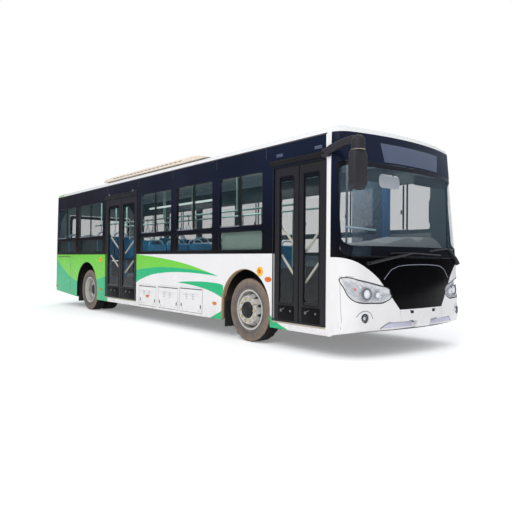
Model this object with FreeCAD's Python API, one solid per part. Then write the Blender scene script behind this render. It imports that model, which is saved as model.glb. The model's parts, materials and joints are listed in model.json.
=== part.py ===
"""Single-deck city bus, 10.5 m class, with two double doors on its kerb side.

Millimetres, +X forward, +Y to the bus's left, +Z up, ground at Z = 0.
Stations along the bus are measured from the front axle while it is drawn, and write()
then moves every node so that the origin lies under the middle of the whole length.
"""
import FreeCAD, Part

import math
import os

V = FreeCAD.Vector
os.makedirs("parts", exist_ok=True)

# ---------------------------------------------------------------- driving dimensions
WHEELBASE = 6000.0
HALF_WIDTH = 1250.0
FRONT_AXLE_X = 2967.5        # the front axle's place ahead of the origin
SKIRT_Z = 275.0              # lower edge of the side walls
WAIST_Z = 1295.0             # where the dark window band starts
GUTTER_Z = 2790.0            # top of the window band, foot of the roof
WALL = 50.0                  # a wall with its lining
FLOOR_Z = 360.0              # top of the low floor
FLOOR_THICK = 60.0
REAR_FLOOR_Z = 800.0         # top of the raised rear floor
STEP_X = -5080.0             # the riser between the two floors
PODIUM_Z = 560.0             # what the seats between the doors stand on
GAP = 6.0                    # clearance round doors and lids

TYRE_R = 470.0
TYRE_WIDTH = 270.0
RIM_R = 285.0
TRACK_Y = 1060.0             # middle of a front tyre, and of an outer rear one
TWIN_SPACING = 320.0
KINGPIN_Y = 975.0

PILLAR_X = 1585.0            # the white pillar between front door and windscreen
CAP_X = 1665.0               # where the front cap starts
REAR_CAP_X = -8110.0         # where the rear cap starts
NOSE_RADIUS = 4000.0         # bow of the front in plan
NOSE_CORNER = 250.0
TAIL_RADIUS = 12000.0
TAIL_CORNER = 150.0

# door openings: name, rear edge, front edge
DOORWAYS = [("front_door", 600.0, 1585.0), ("mid_door", -4970.0, -3505.0)]
DOOR_SILL_Z = 372.0
DOOR_HEAD_Z = 2470.0
LEAF_THICK = 40.0
LEAF_FACE_Y = -1240.0        # outer face of a closed leaf
LEAF_STILE = 88.0

# side windows: rear edge, front edge of the opening; the first row of each is the rear one
WINDOWS_BOTH = [(-8010.0, -6740.0), (-6540.0, -5130.0), (-3330.0, -2165.0),
                (-1985.0, -870.0), (-690.0, 370.0)]
WINDOWS_LEFT_ONLY = [(-4930.0, -3530.0), (570.0, 1480.0)]
PANE_UPPER_Z = (1705.0, 2455.0)
PANE_LOWER_Z = (1350.0, 1628.0)
PANE_THICK = 8.0

# service hatches in the right side wall: rear edge, front edge, lower edge, upper edge
HATCHES = [("service_hatch_rear", -3370.0, -2680.0, 312.0, 716.0),
           ("service_hatch_middle", -2610.0, -1895.0, 312.0, 728.0),
           ("service_hatch_front", -1850.0, -1130.0, 312.0, 742.0)]
HATCH_THICK = 28.0

# rear end
REAR_LID = (-830.0, 830.0, 560.0, 1330.0)       # y0, y1, z0, z1
REAR_WINDOW = (-900.0, 900.0, 1560.0, 2380.0)
LID_AXIS_X = -8253.6

# roof unit: rear edge, front edge, half width, height of its top
ROOF_POD = (-6080.0, -1700.0, 840.0, 3145.0)


# ---------------------------------------------------------------- small helpers
def write(node, shape):
    """Moves a node from axle stations to the origin and saves it."""
    moved = shape.copy()
    moved.translate(V(FRONT_AXLE_X, 0, 0))
    moved.exportStep("parts/%s.step" % node)
    return shape


def box(x0, x1, y0, y1, z0, z1):
    return Part.makeBox(x1 - x0, y1 - y0, z1 - z0, V(x0, y0, z0))


def rod(start, end, radius):
    """A round bar between two points."""
    along = end - start
    return Part.makeCylinder(radius, along.Length, start, along)


def fuse(shapes):
    shapes = list(shapes)
    if len(shapes) == 1:
        return shapes[0]
    return shapes[0].fuse(shapes[1:]).removeSplitter()


def group(shapes):
    """Separate solids in one node."""
    return Part.makeCompound([s for shape in shapes for s in shape.Solids])


def both_sides(shape):
    """A shape and its mirror image across the bus's middle."""
    return [shape, shape.mirror(V(0, 0, 0), V(0, 1, 0))]


def prism(points, along, depth):
    """Points in the plane normal to `along`, pushed along it.

    along X: points are (y, z); along Y: (x, z); along Z: (x, y). depth = (from, to).
    """
    place = {"X": lambda a, b: V(depth[0], a, b),
             "Y": lambda a, b: V(a, depth[0], b),
             "Z": lambda a, b: V(a, b, depth[0])}[along]
    axis = {"X": V(1, 0, 0), "Y": V(0, 1, 0), "Z": V(0, 0, 1)}[along]
    corners = [place(a, b) for a, b in points]
    face = Part.Face(Part.makePolygon(corners + corners[:1]))
    return face.extrude(axis * (depth[1] - depth[0]))


def rounded_window(u0, u1, z0, z1, along, depth, radius=45.0):
    """A rounded rectangle pushed along X or Y, to cut a window or to fill it."""
    solid = prism([(u0, z0), (u1, z0), (u1, z1), (u0, z1)], along, depth)
    axis = 0 if along == "X" else 1
    edges = [e for e in solid.Edges
             if abs((e.Vertexes[0].Point - e.Vertexes[1].Point)[axis]) > 0.5 * abs(depth[1] - depth[0])]
    return solid.makeFillet(radius, edges)


def revolve_y(profile, x, y, z, outward=-1):
    """Turns (lateral, radius) points about a wheel's axle line; lateral grows outwards."""
    points = [V(x, y + outward * lateral, z + radius) for lateral, radius in profile]
    face = Part.Face(Part.makePolygon(points + points[:1]))
    return face.revolve(V(x, y, z), V(0, 1, 0), 360)


# ---------------------------------------------------------------- the outer skin
def plan(z, front, rear, inset=0.0):
    """The bus's outline seen from above: bowed ends, round corners, straight sides."""
    half = HALF_WIDTH - inset
    nose_corner = max(NOSE_CORNER - inset, 60.0)
    tail_corner = max(TAIL_CORNER - inset, 60.0)

    def end(tip, bow, corner, sign):
        """Arc points of one end: side tangent, corner middle, nose tangent (for +Y)."""
        middle_y = half - corner
        centre_x = tip - sign * bow + sign * math.sqrt((bow - corner) ** 2 - middle_y ** 2)
        turn = math.asin(middle_y / (bow - corner))
        bisector = 0.5 * (turn + 0.5 * math.pi)
        side = V(centre_x, half, z)
        middle = V(centre_x + sign * corner * math.cos(bisector),
                   middle_y + corner * math.sin(bisector), z)
        nose = V(tip - sign * bow * (1 - math.cos(turn)), bow * math.sin(turn), z)
        return side, middle, nose

    def mirrored(p):
        return V(p.x, -p.y, p.z)

    f_side, f_middle, f_nose = end(front - inset, NOSE_RADIUS, nose_corner, 1)
    r_side, r_middle, r_nose = end(rear + inset, TAIL_RADIUS, tail_corner, -1)
    edges = [
        Part.makeLine(mirrored(r_side), mirrored(f_side)),
        Part.Arc(mirrored(f_side), mirrored(f_middle), mirrored(f_nose)).toShape(),
        Part.Arc(mirrored(f_nose), V(front - inset, 0, z), f_nose).toShape(),
        Part.Arc(f_nose, f_middle, f_side).toShape(),
        Part.makeLine(f_side, r_side),
        Part.Arc(r_side, r_middle, r_nose).toShape(),
        Part.Arc(r_nose, V(rear + inset, 0, z), mirrored(r_nose)).toShape(),
        Part.Arc(mirrored(r_nose), mirrored(r_middle), mirrored(r_side)).toShape(),
    ]
    return Part.Wire(edges)


# height, front tip, rear tip of the walls
SKIN = [(SKIRT_Z, 2125.0, -8225.0), (450.0, 2170.0, -8270.0), (600.0, 2155.0, -8270.0),
        (WAIST_Z, 2120.0, -8255.0), (GUTTER_Z, 1975.0, -8185.0)]
# height and inset of the roof's rings, above the gutter
ROOF_RINGS = [(GUTTER_Z, 0.0), (2885.0, 25.0), (2950.0, 75.0), (2990.0, 170.0), (3045.0, 700.0)]


ROOF_DROP = 45.0             # thickness of the roof


def skin(inset):
    rings = [plan(z, front, rear, inset) for z, front, rear in SKIN]
    return Part.makeLoft(rings, True, True)


def roof_loft(inset, drop):
    front, rear = SKIN[-1][1], SKIN[-1][2]
    rings = [plan(z - drop, front, rear, inset + ring) for z, ring in ROOF_RINGS]
    return Part.makeLoft(rings, True, True)


def skin_shell():
    return skin(0.0).cut(skin(WALL))


FAR = 3000.0                 # beyond the bus in any direction


# ---------------------------------------------------------------- regions of the front
def mask_region():
    """The dark panel between the lamps: wide at the windscreen, narrow at the bumper."""
    right = [(-1260.0, WAIST_Z - 45.0), (-1030.0, 1150.0), (-800.0, 985.0)]
    top = WAIST_Z - 45.0
    start = V(CAP_X, right[0][0], right[0][1])
    shoulder = Part.Arc(start, V(CAP_X, *right[1]), V(CAP_X, *right[2])).toShape()
    foot_r, foot_l = V(CAP_X, -470.0, 600.0), V(CAP_X, 470.0, 600.0)
    mirrored = Part.Arc(V(CAP_X, 800.0, 985.0), V(CAP_X, 1030.0, 1150.0), V(CAP_X, 1260.0, top)).toShape()
    wire = Part.Wire([shoulder,
                      Part.makeLine(V(CAP_X, *right[2]), foot_r), Part.makeLine(foot_r, foot_l),
                      Part.makeLine(foot_l, V(CAP_X, 800.0, 985.0)), mirrored,
                      Part.makeLine(V(CAP_X, 1260.0, top), start)])
    return Part.Face(wire).extrude(V(FAR, 0, 0))


def headlight_region():
    outline = [(-1238.0, 1000.0), (-930.0, 938.0), (-635.0, 868.0), (-600.0, 768.0),
               (-755.0, 690.0), (-1090.0, 705.0), (-1180.0, 760.0), (-1215.0, 860.0)]
    return prism(outline, "X", (CAP_X + 60.0, FAR))


def fog_region(radius=58.0):
    return Part.makeCylinder(radius, 800.0, V(CAP_X + 60.0, -1020.0, 515.0), V(1, 0, 0))


def windscreen_region():
    return rounded_window(-1237.0, 1237.0, 1262.0, 2430.0, "X", (CAP_X + 95.0, FAR), 90.0)


def lamp_slot_region():
    """The long tail lamp cluster at a rear corner."""
    return prism([(-1130.0, 700.0), (-985.0, 700.0), (-985.0, 1290.0), (-1130.0, 1290.0)],
                 "X", (-FAR * 3, REAR_CAP_X - 40.0))


def under_cut():
    """What rises away from the road under the front and rear overhangs."""
    nose = prism([(CAP_X - 60.0, 200.0), (CAP_X - 60.0, SKIRT_Z), (1720.0, 300.0), (2020.0, 358.0),
                  (2300.0, 372.0), (2300.0, 200.0)], "Y", (-FAR, FAR))
    tail = prism([(-6660.0, 200.0), (-6660.0, SKIRT_Z), (-8400.0, 380.0), (-8400.0, 200.0)],
                 "Y", (-FAR, FAR))
    return [nose, tail]


# ---------------------------------------------------------------- walls and roof
FRONT_ARCH = (-30.0, 495.0, 578.0)              # x, z, radius
REAR_ARCH = (-WHEELBASE - 25.0, 515.0, 605.0)
FRONT_BOX_X = (-612.0, 545.0)                   # length of the sheet box over a front wheel
REAR_BOX_X = (-6660.0, -5400.0)


def arch_cut(arch, side):
    """The wheel opening of a side wall, with straight legs down to the skirt."""
    x, z, radius = arch
    y0, y1 = (-FAR, -HALF_WIDTH + WALL + 5.0) if side < 0 else (HALF_WIDTH - WALL - 5.0, FAR)
    circle = Part.makeCylinder(radius, y1 - y0, V(x, y0, z), V(0, 1, 0))
    return circle.fuse(box(x - radius, x + radius, y0, y1, 0.0, z))


def front_cap(shell):
    """The fascia, the mask, the lamps' lenses, the windscreen and its dark frame."""
    cap = shell.common(box(CAP_X, FAR, -FAR, FAR, 0.0, GUTTER_Z)).cut(under_cut()[0])
    screen_sill = WAIST_Z - 45.0
    lower = cap.common(box(CAP_X, FAR, -FAR, FAR, 0.0, screen_sill))
    upper = cap.common(box(CAP_X, FAR, -FAR, FAR, screen_sill, GUTTER_Z))

    mask = mask_region()
    lamps = both_sides(headlight_region())
    fogs = both_sides(fog_region())
    intakes = both_sides(prism([(-760.0, 340.0), (-150.0, 340.0), (-150.0, 452.0), (-650.0, 452.0)],
                               "X", (2110.0, FAR)))
    seams = both_sides(box(2060.0, FAR, -462.0, -456.0, 300.0, 600.0).cut(skin(6.0)))
    sockets = both_sides(box(2135.0, FAR, -275.0, -205.0, 545.0, 582.0))
    fascia = lower.cut([mask] + lamps + fogs + intakes + seams + sockets)
    write("front_fascia", fascia)

    grooves = [box(2000.0, FAR, -620.0, 620.0, z, z + 9.0).cut(skin(9.0)) for z in (742.0, 812.0)]
    write("front_mask", lower.common(mask).cut(grooves + lamps))
    write("headlights", group([lower.common(lamp) for lamp in lamps]))
    write("fog_lamps", group([lower.common(fog).common(skin(8.0)) for fog in fogs]))

    opening = windscreen_region()
    glass_layer = skin(6.0).cut(skin(18.0))
    write("windscreen_frame", upper.cut(opening))
    write("windscreen", glass_layer.common(opening).common(box(CAP_X, FAR, -FAR, FAR, 0, FAR)))


def side_walls(shell):
    """Lower walls, window bands and panes of both sides."""
    rear_rise = under_cut()[1]
    panes = []
    pillar = box(PILLAR_X, CAP_X, -FAR, 0.0, SKIRT_Z, GUTTER_Z)
    for side, name in ((-1, "right"), (1, "left")):
        half_space = (-FAR, 0.0) if side < 0 else (0.0, FAR)
        lower = shell.common(box(REAR_CAP_X, CAP_X, *half_space, 0.0, WAIST_Z))
        band_front = PILLAR_X if side < 0 else CAP_X
        band = shell.common(box(REAR_CAP_X, band_front, *half_space, WAIST_Z, GUTTER_Z))
        cuts = [arch_cut(FRONT_ARCH, side), arch_cut(REAR_ARCH, side), rear_rise]
        windows = list(WINDOWS_BOTH)
        if side < 0:
            lower = lower.fuse(shell.common(pillar)).removeSplitter()
            for _, x0, x1 in DOORWAYS:
                doorway = box(x0, x1, -FAR, 0.0, DOOR_SILL_Z, DOOR_HEAD_Z)
                cuts.append(doorway)
                band = band.cut(doorway)
            for _, x0, x1, z0, z1 in HATCHES:
                cuts.append(box(x0, x1, -FAR, 0.0, z0, z1))
        else:
            windows += WINDOWS_LEFT_ONLY
        lower = lower.cut(cuts)
        write("side_lower_" + name, lower)

        openings = []
        for x0, x1 in windows:
            middle = 0.5 * (x0 + x1) + 12.0
            depth = (-FAR, 0.0) if side < 0 else (0.0, FAR)
            upper_cut = rounded_window(x0, x1, *PANE_UPPER_Z, "Y", depth)
            lower_cut = rounded_window(x0, x1, *PANE_LOWER_Z, "Y", depth)
            openings += [upper_cut, lower_cut]
            for hole, a, b, inset in ((upper_cut, x0, middle + 12.0, 24.0), (upper_cut, middle - 12.0, x1, 6.0),
                                      (lower_cut, x0, x1, 6.0)):
                y = side * (HALF_WIDTH - inset)
                layer = box(a, b, min(y, y - side * PANE_THICK), max(y, y - side * PANE_THICK), 0.0, FAR)
                panes.append(hole.common(layer))
        write("window_band_" + name, band.cut(openings))
    write("side_glass", group(panes))


def rear_cap(shell):
    cap = shell.common(box(-FAR * 3, REAR_CAP_X, -FAR, FAR, 0.0, GUTTER_Z)).cut(under_cut()[1])
    y0, y1, z0, z1 = REAR_LID
    lid_hole = box(-FAR * 3, REAR_CAP_X, y0, y1, z0, z1)
    window_hole = rounded_window(*REAR_WINDOW, "X", (-FAR * 3, REAR_CAP_X), 80.0)
    lamps = both_sides(lamp_slot_region())
    bumper_line = box(-FAR * 3, REAR_CAP_X, -1180.0, 1180.0, 520.0, 528.0).cut(skin(8.0))
    write("rear_panel", cap.cut([lid_hole, window_hole, bumper_line] + lamps))
    write("tail_lamps", group([cap.common(lamp) for lamp in lamps]))
    write("rear_window", skin(8.0).cut(skin(8.0 + PANE_THICK)).common(window_hole))
    lid = cap.common(box(-FAR * 3, REAR_CAP_X, y0 + GAP, y1 - GAP, z0 + GAP, z1 - GAP))
    slots = [box(-FAR * 3, REAR_CAP_X, -620.0 + 640.0 * column, -20.0 + 640.0 * column, z, z + 22.0)
             for column in (0, 1) for z in (980.0, 1030.0, 1080.0, 1130.0, 1180.0)]
    lid = lid.common(skin(0.0).cut(skin(34.0))).cut(slots)
    axis = V(LID_AXIS_X, 0.0, z1 - GAP)
    barrels = [rod(axis + V(0, y, 0), axis + V(0, y + 90.0, 0), 0.5 * HINGE_BARREL)
               for y in (-335.0, 245.0)]
    write("rear_lid", fuse([lid] + barrels))


def roof():
    outer = roof_loft(0.0, 0.0)
    inner = roof_loft(WALL, ROOF_DROP)
    pod_rear, pod_front, pod_half, pod_top = ROOF_POD
    write("roof", outer.cut(inner.common(box(-9000, FAR, -FAR, FAR, GUTTER_Z - 1.0, FAR))))
    foot = 2990.0
    profile = [(pod_rear, foot), (pod_front, foot), (pod_front, foot + 40.0), (pod_front - 420.0, pod_top - 25.0),
               (pod_front - 640.0, pod_top), (pod_rear + 420.0, pod_top), (pod_rear + 120.0, pod_top - 40.0)]
    pod = prism(profile, "Y", (-pod_half, pod_half))
    shoulder = prism([(-pod_half, pod_top), (-pod_half, pod_top - 70.0), (-pod_half + 130.0, pod_top)],
                     "X", (pod_rear - 10.0, pod_front + 10.0))
    pod = pod.cut(both_sides(shoulder))
    vents = [box(x, x + 26.0, y - 170.0, y + 170.0, pod_top - 20.0, pod_top + 10.0)
             for x in range(-5200, -3300, 90) for y in (-380.0, 380.0)]
    write("roof_pod", pod.cut(vents).cut(outer))


# ---------------------------------------------------------------- doors and lids
def leaf(name, hinge_x, free_x):
    """One inward-swinging leaf: round-edged frame, kick panel, grab bars and its glass."""
    y0, y1 = LEAF_FACE_Y, LEAF_FACE_Y + LEAF_THICK
    axis_y = 0.5 * (y0 + y1)
    z0, z1 = DOOR_SILL_Z + 8.0, DOOR_HEAD_Z - 14.0
    x0, x1 = min(hinge_x, free_x), max(hinge_x, free_x)
    toward = 1.0 if free_x > hinge_x else -1.0
    panel = box(x0, x1, y0, y1, z0, z1)
    edge = Part.makeCylinder(0.5 * LEAF_THICK, z1 - z0, V(hinge_x, axis_y, z0), V(0, 0, 1))
    glass_x = (x0 + LEAF_STILE, x1 - LEAF_STILE)
    glass_z = (z0 + 240.0, z1 - 118.0)
    hole = rounded_window(*glass_x, *glass_z, "Y", (y0 - 5.0, y1 + 5.0), 25.0)
    frame = panel.fuse(edge).cut(hole)
    bars = []
    bar_y = y1 + 34.0
    stile_hinge = hinge_x + toward * 45.0
    stile_free = free_x - toward * 45.0
    for z_hinge, drop in ((1690.0, 390.0), (1290.0, 390.0)):
        a, b = V(stile_hinge, bar_y, z_hinge), V(stile_free, bar_y, z_hinge - drop)
        bars += [rod(a, b, 13.0), rod(V(a.x, y1 - 5.0, a.z), a, 13.0), rod(V(b.x, y1 - 5.0, b.z), b, 13.0)]
        bars += [Part.makeSphere(13.0, a), Part.makeSphere(13.0, b)]
    write(name, fuse([frame] + bars))
    write(name + "_glass", hole.common(box(x0, x1, y0 + 8.0, y0 + 8.0 + PANE_THICK, z0, z1)))


def doors():
    for name, x0, x1 in DOORWAYS:
        middle = 0.5 * (x0 + x1)
        inset = 0.5 * LEAF_THICK + 2.0 * GAP
        leaf(name + "_rear", x0 + inset, middle - 0.7 * GAP)
        leaf(name + "_front", x1 - inset, middle + 0.7 * GAP)


HINGE_BARREL = 9.0           # diameter of a lid's or hatch's hinge


def marker(x, z):
    """A small side lamp on the right wall."""
    half_length, half_height, proud = 32.0, 15.0, 12.0
    return box(x - half_length, x + half_length, -HALF_WIDTH - proud, -HALF_WIDTH,
               z - half_height, z + half_height)


def hatches():
    """Flaps in the right wall, hinged along their outer upper edge."""
    for name, x0, x1, z0, z1 in HATCHES:
        outer, inner = -HALF_WIDTH, -HALF_WIDTH + HATCH_THICK
        flap = box(x0 + GAP, x1 - GAP, outer, inner, z0 + GAP, z1 - GAP)
        slots = [box(x0 + 70.0 + 78.0 * i, x0 + 122.0 + 78.0 * i, outer - 1.0, outer + 8.0, z, z + 10.0)
                 for i in range(int((x1 - x0 - 140.0) // 78.0)) for z in (z1 - 120.0, z1 - 150.0)]
        pulls = [Part.makeCylinder(16.0, 12.0, V(x, outer - 1.0, z0 + 46.0), V(0, 1, 0))
                 for x in (x0 + 110.0, x1 - 110.0)]
        barrel = rod(V(x0 + GAP, outer, z1 - GAP), V(x1 - GAP, outer, z1 - GAP), 0.5 * HINGE_BARREL)
        flap = flap.cut(slots + pulls).fuse(barrel)
        if name == "service_hatch_rear":
            flap = flap.fuse(marker(-3020.0, 498.0))
        write(name, flap)


# ---------------------------------------------------------------- underbody and cabin
def cabin_floor():
    """The low floor, the raised rear floor behind its riser, and the seats' podiums."""
    thin = 20.0
    nose_x = CAP_X - 20.0
    low_foot, high_foot = FLOOR_Z - FLOOR_THICK, REAR_FLOOR_Z - FLOOR_THICK
    inside = skin(WALL)
    front_wells = both_sides(box(*FRONT_BOX_X, 600.0, FAR, 0.0, FLOOR_Z + 1.0))
    rear_wells = both_sides(box(*REAR_BOX_X, 580.0, FAR, 0.0, FAR))
    low = [box(STEP_X, nose_x, -FAR, FAR, low_foot, FLOOR_Z),
           box(nose_x - 10.0, FAR, -FAR, FAR, FLOOR_Z - thin, FLOOR_Z)]
    write("floor", fuse(low).cut(front_wells).common(inside))
    high = [box(STEP_X - 30.0, STEP_X, -FAR, FAR, low_foot, REAR_FLOOR_Z),
            box(-3 * FAR, STEP_X, -FAR, FAR, high_foot, REAR_FLOOR_Z)]
    write("rear_floor", fuse(high).cut(rear_wells).common(inside))

    podiums = [box(700.0, 1560.0, 200.0, FAR, FLOOR_Z, PODIUM_Z)]
    for x0, x1, side in ((-3400.0, -700.0, -1), (-4940.0, -700.0, 1)):
        aisle_y = side * 390.0
        y0, y1 = sorted((aisle_y, side * FAR))
        top = box(x0, x1, y0, y1, PODIUM_Z - 30.0, PODIUM_Z)
        y0, y1 = sorted((aisle_y, aisle_y + side * 30.0))
        podiums.append(top.fuse(box(x0, x1, y0, y1, FLOOR_Z, PODIUM_Z)).removeSplitter())
    write("podiums", group([podium.common(inside) for podium in podiums]))


def wheel_boxes():
    """Sheet boxes over the wheels, open to the road and to the arch."""
    sheet = 25.0
    inner = HALF_WIDTH - WALL
    shapes = []
    rows = [(*FRONT_BOX_X, 600.0, FLOOR_Z - FLOOR_THICK, 1100.0),
            (*REAR_BOX_X, 580.0, REAR_FLOOR_Z - FLOOR_THICK, 1145.0)]
    for x0, x1, y_in, z0, z1 in rows:
        outside = box(x0, x1, -inner, -y_in, z0, z1)
        inside = box(x0 + sheet, x1 - sheet, -inner - 1.0, -y_in - sheet, z0 - 1.0, z1 - sheet)
        shapes += both_sides(outside.cut(inside))
    write("wheel_boxes", group(shapes))


TOW_BORE_R = 20.0
TOW_FRONT = (1600.0, 262.0, 300.0)              # x of the bore, lower and upper face of its plate
TOW_REAR = (-8140.0, 380.0, 415.0)


LOW_TUBE_Z = (FLOOR_Z - FLOOR_THICK - 40.0, FLOOR_Z - FLOOR_THICK)
HIGH_TUBE_Z = (REAR_FLOOR_Z - FLOOR_THICK - 80.0, REAR_FLOOR_Z - FLOOR_THICK)
RAIL_Y = 400.0
LOW_MEMBERS_X = (-4900.0, -3900.0, -2900.0, -1900.0, -900.0, 700.0, 1500.0)
HIGH_MEMBERS_X = (-8050.0, -7170.0, -5230.0)


def underframe_rails():
    """Two rails under the low floor, which step up to the raised rear floor."""
    half = 30.0
    step_x = STEP_X - 110.0
    profile = [(1530.0, LOW_TUBE_Z[0]), (1530.0, LOW_TUBE_Z[1]), (STEP_X - 30.0, LOW_TUBE_Z[1]),
               (STEP_X - 30.0, HIGH_TUBE_Z[1]), (-8080.0, HIGH_TUBE_Z[1]), (-8080.0, HIGH_TUBE_Z[0]),
               (step_x, HIGH_TUBE_Z[0]), (step_x, LOW_TUBE_Z[0])]
    return both_sides(prism(profile, "Y", (RAIL_Y - half, RAIL_Y + half)))


def underframe():
    """The rails, and the cross members between and outside them with jack pads and towing plates."""
    rails = underframe_rails()
    write("underframe_rails", group(rails))
    half = 30.0
    inner = HALF_WIDTH - WALL
    members = [box(x - half, x + half, -inner, inner, *LOW_TUBE_Z) for x in LOW_MEMBERS_X]
    members += [box(x - half, x + half, -1150.0, 1150.0, *HIGH_TUBE_Z) for x in HIGH_MEMBERS_X]
    pads = [Part.makeCylinder(60.0, 12.0, V(x, y, LOW_TUBE_Z[0] - 12.0), V(0, 0, 1))
            for x in (-900.0, 700.0, -4900.0) for y in (-800.0, 800.0)]
    front_x, front_z0, front_z1 = TOW_FRONT
    rear_x, rear_z0, rear_z1 = TOW_REAR
    plates = [box(1500.0, front_x + 60.0, -70.0, 70.0, front_z0, front_z1),
              box(rear_x - 50.0, -8040.0, -70.0, 70.0, rear_z0, rear_z1),
              box(-8080.0, -8040.0, -50.0, 50.0, rear_z0, HIGH_TUBE_Z[0] + 20.0)]
    bores = [Part.makeCylinder(TOW_BORE_R, 100.0, V(x, 0, z - 20.0), V(0, 0, 1))
             for x, z in ((front_x, front_z0), (rear_x, rear_z0))]
    write("cross_members", fuse(members + pads + plates).cut(rails + bores))


def battery_pack():
    """The sealed pack that hangs under the rear frame."""
    write("battery_pack", box(-8000.0, -6760.0, -780.0, 780.0, 330.0, HIGH_TUBE_Z[0]))


# ---------------------------------------------------------------- running gear
def tyre(x, y, outward):
    """Section of a 275/70 R22.5 tyre as a closed ring on its rim."""
    half = 0.5 * TYRE_WIDTH
    profile = [(-half + 30.0, RIM_R + 6.0), (-half + 4.0, 345.0), (-half, 385.0), (-half + 10.0, 432.0),
               (-half + 34.0, TYRE_R - 6.0), (-half + 60.0, TYRE_R), (half - 60.0, TYRE_R),
               (half - 34.0, TYRE_R - 6.0), (half - 10.0, 432.0), (half, 385.0), (half - 4.0, 345.0),
               (half - 30.0, RIM_R + 6.0)]
    return revolve_y(profile, x, y, TYRE_R, outward)


def rim(x, y, outward, dish):
    """Drop-centre rim with its disc: dish +1 stands proud, -1 is set deep inside."""
    half = 105.0
    barrel = [(-half, RIM_R + 14.0), (-half - 8.0, RIM_R + 14.0), (-half - 8.0, RIM_R - 10.0), (-35.0, RIM_R - 32.0),
              (35.0, RIM_R - 32.0), (half + 8.0, RIM_R - 10.0), (half + 8.0, RIM_R + 14.0), (half, RIM_R + 14.0),
              (half, RIM_R + 6.0), (-half, RIM_R + 6.0)]
    face = 148.0 * dish
    disc = [(dish * 20.0, RIM_R - 26.0), (dish * 92.0, 232.0), (face, 205.0), (face, 60.0),
            (face - dish * 12.0, 60.0), (face - dish * 12.0, 198.0), (dish * 80.0, 222.0), (dish * 8.0, RIM_R - 30.0)]
    wheel = revolve_y(barrel, x, y, TYRE_R, outward).fuse(revolve_y(disc, x, y, TYRE_R, outward))
    holes = []
    for i in range(10):
        a = 2.0 * math.pi * (i + 0.5) / 10.0
        centre = V(x + 232.0 * math.cos(a), y - 200.0, TYRE_R + 232.0 * math.sin(a))
        holes.append(Part.makeCylinder(24.0, 400.0, centre, V(0, 1, 0)))
    disc_zone = Part.makeCylinder(RIM_R - 33.0, 400.0, V(x, y - 200.0, TYRE_R), V(0, 1, 0))
    return wheel.cut([h.common(disc_zone) for h in holes])


def lugs(x, y, outward, lateral, length=32.0):
    shapes = []
    for i in range(10):
        a = 2.0 * math.pi * i / 10.0
        foot = V(x + 167.5 * math.cos(a), y + outward * lateral, TYRE_R + 167.5 * math.sin(a))
        shapes.append(Part.makeCylinder(17.0, length, foot, V(0, outward, 0)))
    return shapes


SPINDLE_R = 40.0
RUNNING = 0.05


def front_wheels():
    for side, name in ((-1, "right"), (1, "left")):
        y = side * TRACK_Y
        write("front_tyre_" + name, tyre(0.0, y, side))
        hub = revolve_y([(-4.0, SPINDLE_R + RUNNING), (-4.0, 90.0), (40.0, 145.0), (136.0, 145.0), (148.0, 118.0),
                         (160.0, 112.0), (180.0, 96.0), (180.0, 0.0), (120.0, 0.0), (120.0, SPINDLE_R + RUNNING)],
                        0.0, y, TYRE_R, side)
        write("front_rim_" + name, fuse([rim(0.0, y, side, 1.0), hub] + lugs(0.0, y, side, 140.0)))


def rear_wheels():
    for side, name in ((-1, "right"), (1, "left")):
        outer_y = side * TRACK_Y
        inner_y = side * (TRACK_Y - TWIN_SPACING)
        write("rear_tyres_" + name, group([tyre(-WHEELBASE, outer_y, side), tyre(-WHEELBASE, inner_y, side)]))
        face_y = 0.5 * (outer_y + inner_y)
        hub = revolve_y([(-60.0, SPINDLE_R + 20.0 + RUNNING), (-60.0, 190.0), (-16.0, 205.0), (26.0, 205.0), (34.0, 130.0),
                         (150.0, 120.0), (190.0, 96.0), (190.0, 0.0), (130.0, 0.0), (130.0, SPINDLE_R + 20.0 + RUNNING)],
                        -WHEELBASE, face_y, TYRE_R, side)
        rims = [rim(-WHEELBASE, outer_y, side, -1.0), rim(-WHEELBASE, inner_y, side, 1.0)]
        write("rear_rims_" + name, fuse(rims + [hub] + lugs(-WHEELBASE, face_y, side, 20.0, 44.0)))


def front_axle():
    """A dropped beam with a boss for the kingpin at each end."""
    right = [(0.0, 145.0), (-620.0, 145.0), (-840.0, 330.0), (-945.0, 385.0), (-945.0, 560.0),
             (-860.0, 560.0), (-800.0, 440.0), (-570.0, 232.0), (0.0, 232.0)]
    half = prism(right, "X", (-45.0, 45.0))
    beam = fuse(both_sides(half))
    bosses = [Part.makeCylinder(46.0, 180.0, V(0, y, 380.0), V(0, 0, 1)) for y in (-KINGPIN_Y, KINGPIN_Y)]
    holes = [Part.makeCylinder(20.0 + RUNNING, 400.0, V(0, y, 300.0), V(0, 0, 1)) for y in (-KINGPIN_Y, KINGPIN_Y)]
    struts = [box(-30.0, 30.0, y - 35.0, y + 35.0, 225.0, 240.0) for y in (-400.0, 400.0)]
    write("front_axle", fuse([beam] + bosses + struts).cut(holes))


def knuckles():
    """A fork round the kingpin and the spindle that the hub turns on."""
    for side, name in ((-1, "right"), (1, "left")):
        y = side * KINGPIN_Y
        pin = Part.makeCylinder(20.0, 252.0, V(0, y, 344.0), V(0, 0, 1))
        ears = []
        for z in (344.0, 566.0):
            ears.append(Part.makeCylinder(42.0, 30.0, V(0, y, z), V(0, 0, 1)))
            y0, y1 = sorted((y, y + side * 72.0))
            ears.append(box(-42.0, 42.0, y0, y1, z, z + 30.0))
        y0, y1 = sorted((y + side * 52.0, y + side * 74.0))
        plate = box(-55.0, 55.0, y0, y1, 344.0, 596.0)
        spindle = rod(V(0, y + side * 60.0, TYRE_R), V(0, side * (TRACK_Y + 112.0), TYRE_R), SPINDLE_R)
        write("knuckle_" + name, fuse([pin] + ears + [plate, spindle]))


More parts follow.
